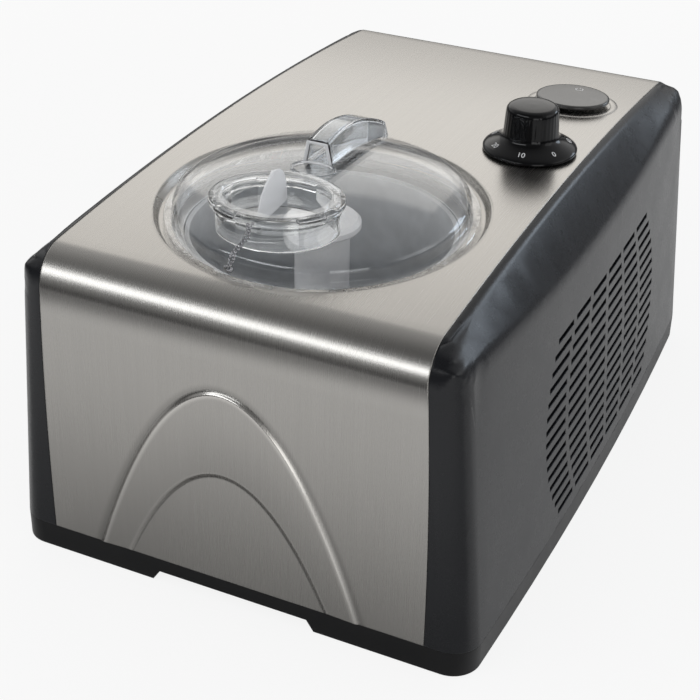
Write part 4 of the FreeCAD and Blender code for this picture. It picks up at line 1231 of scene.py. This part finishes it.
@dataclass
class Studio:
    """Floor, soft light and the camera at the photograph's angle."""

    eye: Point = (0.3185, -0.7512, 0.5467)
    right: Point = (0.9048, 0.4256, 0.0174)
    upward: Point = (-0.2342, 0.4629, 0.8549)
    back: Point = (0.3558, -0.7776, 0.5185)
    lens: float = 78.07

    def build(self) -> None:
        """Sets up everything round the object."""
        self._floor()
        self._world()
        self._lamp("front_softbox", (-0.60, -1.20, 1.12), (1.5, 0.32), 5.4, (0.96, 0.98, 1.0))
        self._lamp("rear_softbox", (-0.75, 1.45, 0.98), (1.5, 1.2), 3.0, (1.0, 0.955, 0.88))
        self._lamp("right_fill", (1.7, 0.2, 0.9), (1.0, 1.0), 1.5)
        self._lamp("front_strip", (1.0, -1.1, 0.35), (0.7, 0.5), 1.8)
        self._lamp("rear_strip", (1.1, 1.55, 0.72), (0.7, 0.45), 3.4, (0.74, 0.86, 1.0))
        self._camera()
        bpy.context.scene.view_settings.view_transform = "Standard"

    def _floor(self) -> None:
        """A wide pale floor that stays white in the picture and keeps the shadow, with a painted shadow in
        front of the object that shows only in reflections.
        """
        bpy.ops.mesh.primitive_plane_add(size=12.0)
        floor = bpy.context.object
        floor.name = "floor"
        paint = bpy.data.materials.new("floor_paint")
        paint.use_nodes = True
        graph = Graph(paint.node_tree)
        path = graph.make("ShaderNodeLightPath", {}, {}, "Is Camera Ray")
        across, along, _ = graph.axes()
        far = (across * across + along * along).root().ramp(0.50, 2.40)
        mirrored = path.out("Is Glossy Ray")
        ahead = 0.0 - along
        # painted shadow: a band of floor in front of the object, darkened only where it is seen in
        # reflections
        foot = ahead.ramp(0.19, 0.21) * ahead.ramp(0.21, 0.42, 1.0, 0.0)
        # the glow seen in reflections is also taken out of the painted shadow's band
        gleam = mirrored * (1.0 - far) * (1.0 - foot) * 0.3
        seen = (path + path.out("Is Transmission Ray") + gleam).at_most(1.0)
        paper = graph.mixed(far * mirrored, (0.82, 0.82, 0.82, 1.0), (0.10, 0.10, 0.11, 1.0))
        # the floor seen in reflections is darkened in that band as a painted shadow
        paper = graph.mixed(foot * mirrored * 0.6, paper, (0.30, 0.30, 0.30, 1.0))
        matt = graph.make("ShaderNodeBsdfDiffuse", {}, {"Color": paper})
        glow = graph.make("ShaderNodeEmission", {}, {"Color": (1.0, 1.0, 1.0, 1.0), "Strength": 1.0})
        both = graph.make("ShaderNodeMixShader", {}, {0: seen * (far * 0.14 + 0.86), 1: matt, 2: glow})
        graph.make("ShaderNodeOutputMaterial", {}, {"Surface": both})
        floor.data.materials.append(paint)
        floor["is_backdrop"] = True

    def _world(self) -> None:
        """Even light, with a studio's bright and dark parts for the gloss."""
        world = bpy.data.worlds.new("studio")
        bpy.context.scene.world = world
        world.use_nodes = True
        graph = Graph(world.node_tree)
        way = graph.make("ShaderNodeTexCoord", {}, {}, "Generated")
        parts = graph.make("ShaderNodeSeparateXYZ", {}, {0: way})
        rear = parts.out(1).ramp(-0.45, 0.35, 0.20, 1.0)
        stops = [(0.0, 0.25), (0.05, 0.10), (0.14, 0.16), (0.26, 0.90), (0.38, 0.88), (0.52, 0.74),
                 (0.66, 0.58), (0.80, 0.46), (0.92, 0.36), (1.0, 0.32)]
        gloss = graph.make("ShaderNodeValToRGB", {"stops": stops}, {0: parts.out(2)})
        gloss = graph.mixed(rear, (0.0, 0.0, 0.0, 1.0), gloss)
        path = graph.make("ShaderNodeLightPath", {}, {}, "Is Camera Ray")
        seen = (path + path.out("Is Transmission Ray")).at_most(1.0)
        plain = graph.mixed(path.out("Is Glossy Ray"), (0.58, 0.58, 0.58, 1.0), gloss)
        colour = graph.mixed(seen, plain, (1.0, 1.0, 1.0, 1.0))
        ground = graph.make("ShaderNodeBackground", {}, {"Color": colour, "Strength": 1.0})
        graph.make("ShaderNodeOutputWorld", {}, {"Surface": ground})

    def _lamp(self, name: str, place: Point, size: tuple[float, float], power: float,
              tint: Colour = (1.0, 1.0, 1.0)) -> None:
        """Adds a softbox that looks at the object.

        Args:
            name: Its name.
            place: Its middle in metres.
            size: Width and height in metres.
            power: Watts.
            tint: Its colour.
        """
        lamp = bpy.data.lights.new(name, "AREA")
        lamp.color = tint
        lamp.shape = "RECTANGLE"
        lamp.size, lamp.size_y = size
        lamp.energy = power
        holder = bpy.data.objects.new(name, lamp)
        bpy.context.scene.collection.objects.link(holder)
        spot = Vector(place)
        holder.location = spot
        holder.rotation_euler = (Vector((0.0, 0.0, 0.12)) - spot).to_track_quat("-Z", "Y").to_euler()

    def _camera(self) -> None:
        """Stands the camera where the photograph was taken from."""
        data = bpy.data.cameras.new("photo_camera")
        data.lens = self.lens
        data.sensor_width = 36.0
        data.clip_start = 0.01
        data.clip_end = 50.0
        camera = bpy.data.objects.new("photo_camera", data)
        bpy.context.scene.collection.objects.link(camera)
        rows = [[self.right[i], self.upward[i], self.back[i], self.eye[i]] for i in range(3)]
        camera.matrix_world = Matrix(rows + [[0.0, 0.0, 0.0, 1.0]])
        bpy.context.scene.camera = camera


def finishes() -> dict[Slot, Finish]:
    """The finish of each material slot."""
    return {
        Slot.STEEL: BrushedSteel((0.47, 0.455, 0.432), 0.27, 0.0012),
        Slot.PANEL: Moulding((0.0072, 0.0078, 0.0098), 0.28, 0.0008, shine=0.40),
        Slot.BASE: Moulding((0.007, 0.007, 0.0075), 0.36, 0.0012, shine=0.28),
        Slot.KNOB: Moulding((0.004, 0.004, 0.0045), 0.10, 0.0004, 1800.0, 0.000004, 0.04, shine=0.30),
        Slot.BUTTON: Moulding((0.042, 0.041, 0.040), 0.20, 0.0004, 1800.0, 0.000006, 0.05, coat=0.15),
        Slot.CHROME: TurnedMetal((0.52, 0.52, 0.54), 0.20, 0.0002, 300.0, 0.04),
        Slot.CLEAR: ClearMoulding((0.93, 0.94, 0.95), 0.06, 0.0, 0.01, 0.75),
        Slot.FROSTED: ClearMoulding((0.94, 0.95, 0.97), 0.30, 0.0, 0.66, 0.4, 0.0),
        Slot.WHITE: Moulding((0.93, 0.94, 0.97), 0.34, 0.0006, 1500.0, 0.00001, 0.06, 0.15),
        Slot.ALUMINIUM: TurnedMetal((0.70, 0.71, 0.72), 0.38),
        Slot.BRIGHT: TurnedMetal((0.62, 0.64, 0.66), 0.42, metal=0.4),
        Slot.ZINC: TurnedMetal((0.58, 0.59, 0.60), 0.42),
        Slot.ENAMEL: Moulding((0.018, 0.018, 0.018), 0.25, 0.0010, 900.0, 0.00004, 0.08),
        Slot.RUBBER: Moulding((0.022, 0.022, 0.022), 0.75, 0.0008, 3000.0, 0.00005, 0.08),
        Slot.FOAM: Moulding((0.80, 0.72, 0.50), 0.9, 0.0010, 700.0, 0.0006, 0.05),
        Slot.COPPER: TurnedMetal((0.78, 0.42, 0.28), 0.30, 0.0004, 120.0),
        Slot.NYLON: Moulding((0.80, 0.77, 0.68), 0.45, 0.0003, 1500.0, 0.00001, 0.06, 0.1),
        Slot.BOARD: Moulding((0.03, 0.20, 0.09), 0.35, 0.0003, 1200.0, 0.00002, 0.06),
    }


def dress_nodes(frame: Mapping[str, object], materials: Mapping[Slot, Paint]) -> None:
    """Gives every CAD node the finish of its slot.

    Args:
        frame: The loaded frame.
        materials: The material of each slot.
    """
    slots = {row["node"]: Slot(row["material_slot"]) for row in frame["record"]["subparts"]}
    for name, node in frame["nodes"].items():
        node.data.materials.clear()
        node.data.materials.append(materials[slots[name]])
        LOG.info("%s: %s", name, slots[name].value)


def plain(box: Sequence[Sequence[float]]) -> list[list[float]]:
    """A box as plain lists of numbers."""
    return [[float(part) for part in corner] for corner in box]


def main() -> None:
    """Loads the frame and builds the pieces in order."""
    logging.basicConfig(level=logging.INFO, format="%(message)s")
    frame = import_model()
    packed = plain(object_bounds())
    materials = {slot: finish.material(slot.value) for slot, finish in finishes().items()}
    dress_nodes(frame, materials)
    SteelCover(materials).build()
    SidePanels(materials, frame["nodes"]).build()
    LidSet(materials).build()
    TimerKnob(materials).build()
    PowerButton(materials).build()
    Studio().build()
    {"packed": packed, "dressed": plain(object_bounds())}


if __name__ == "__main__":
    main()
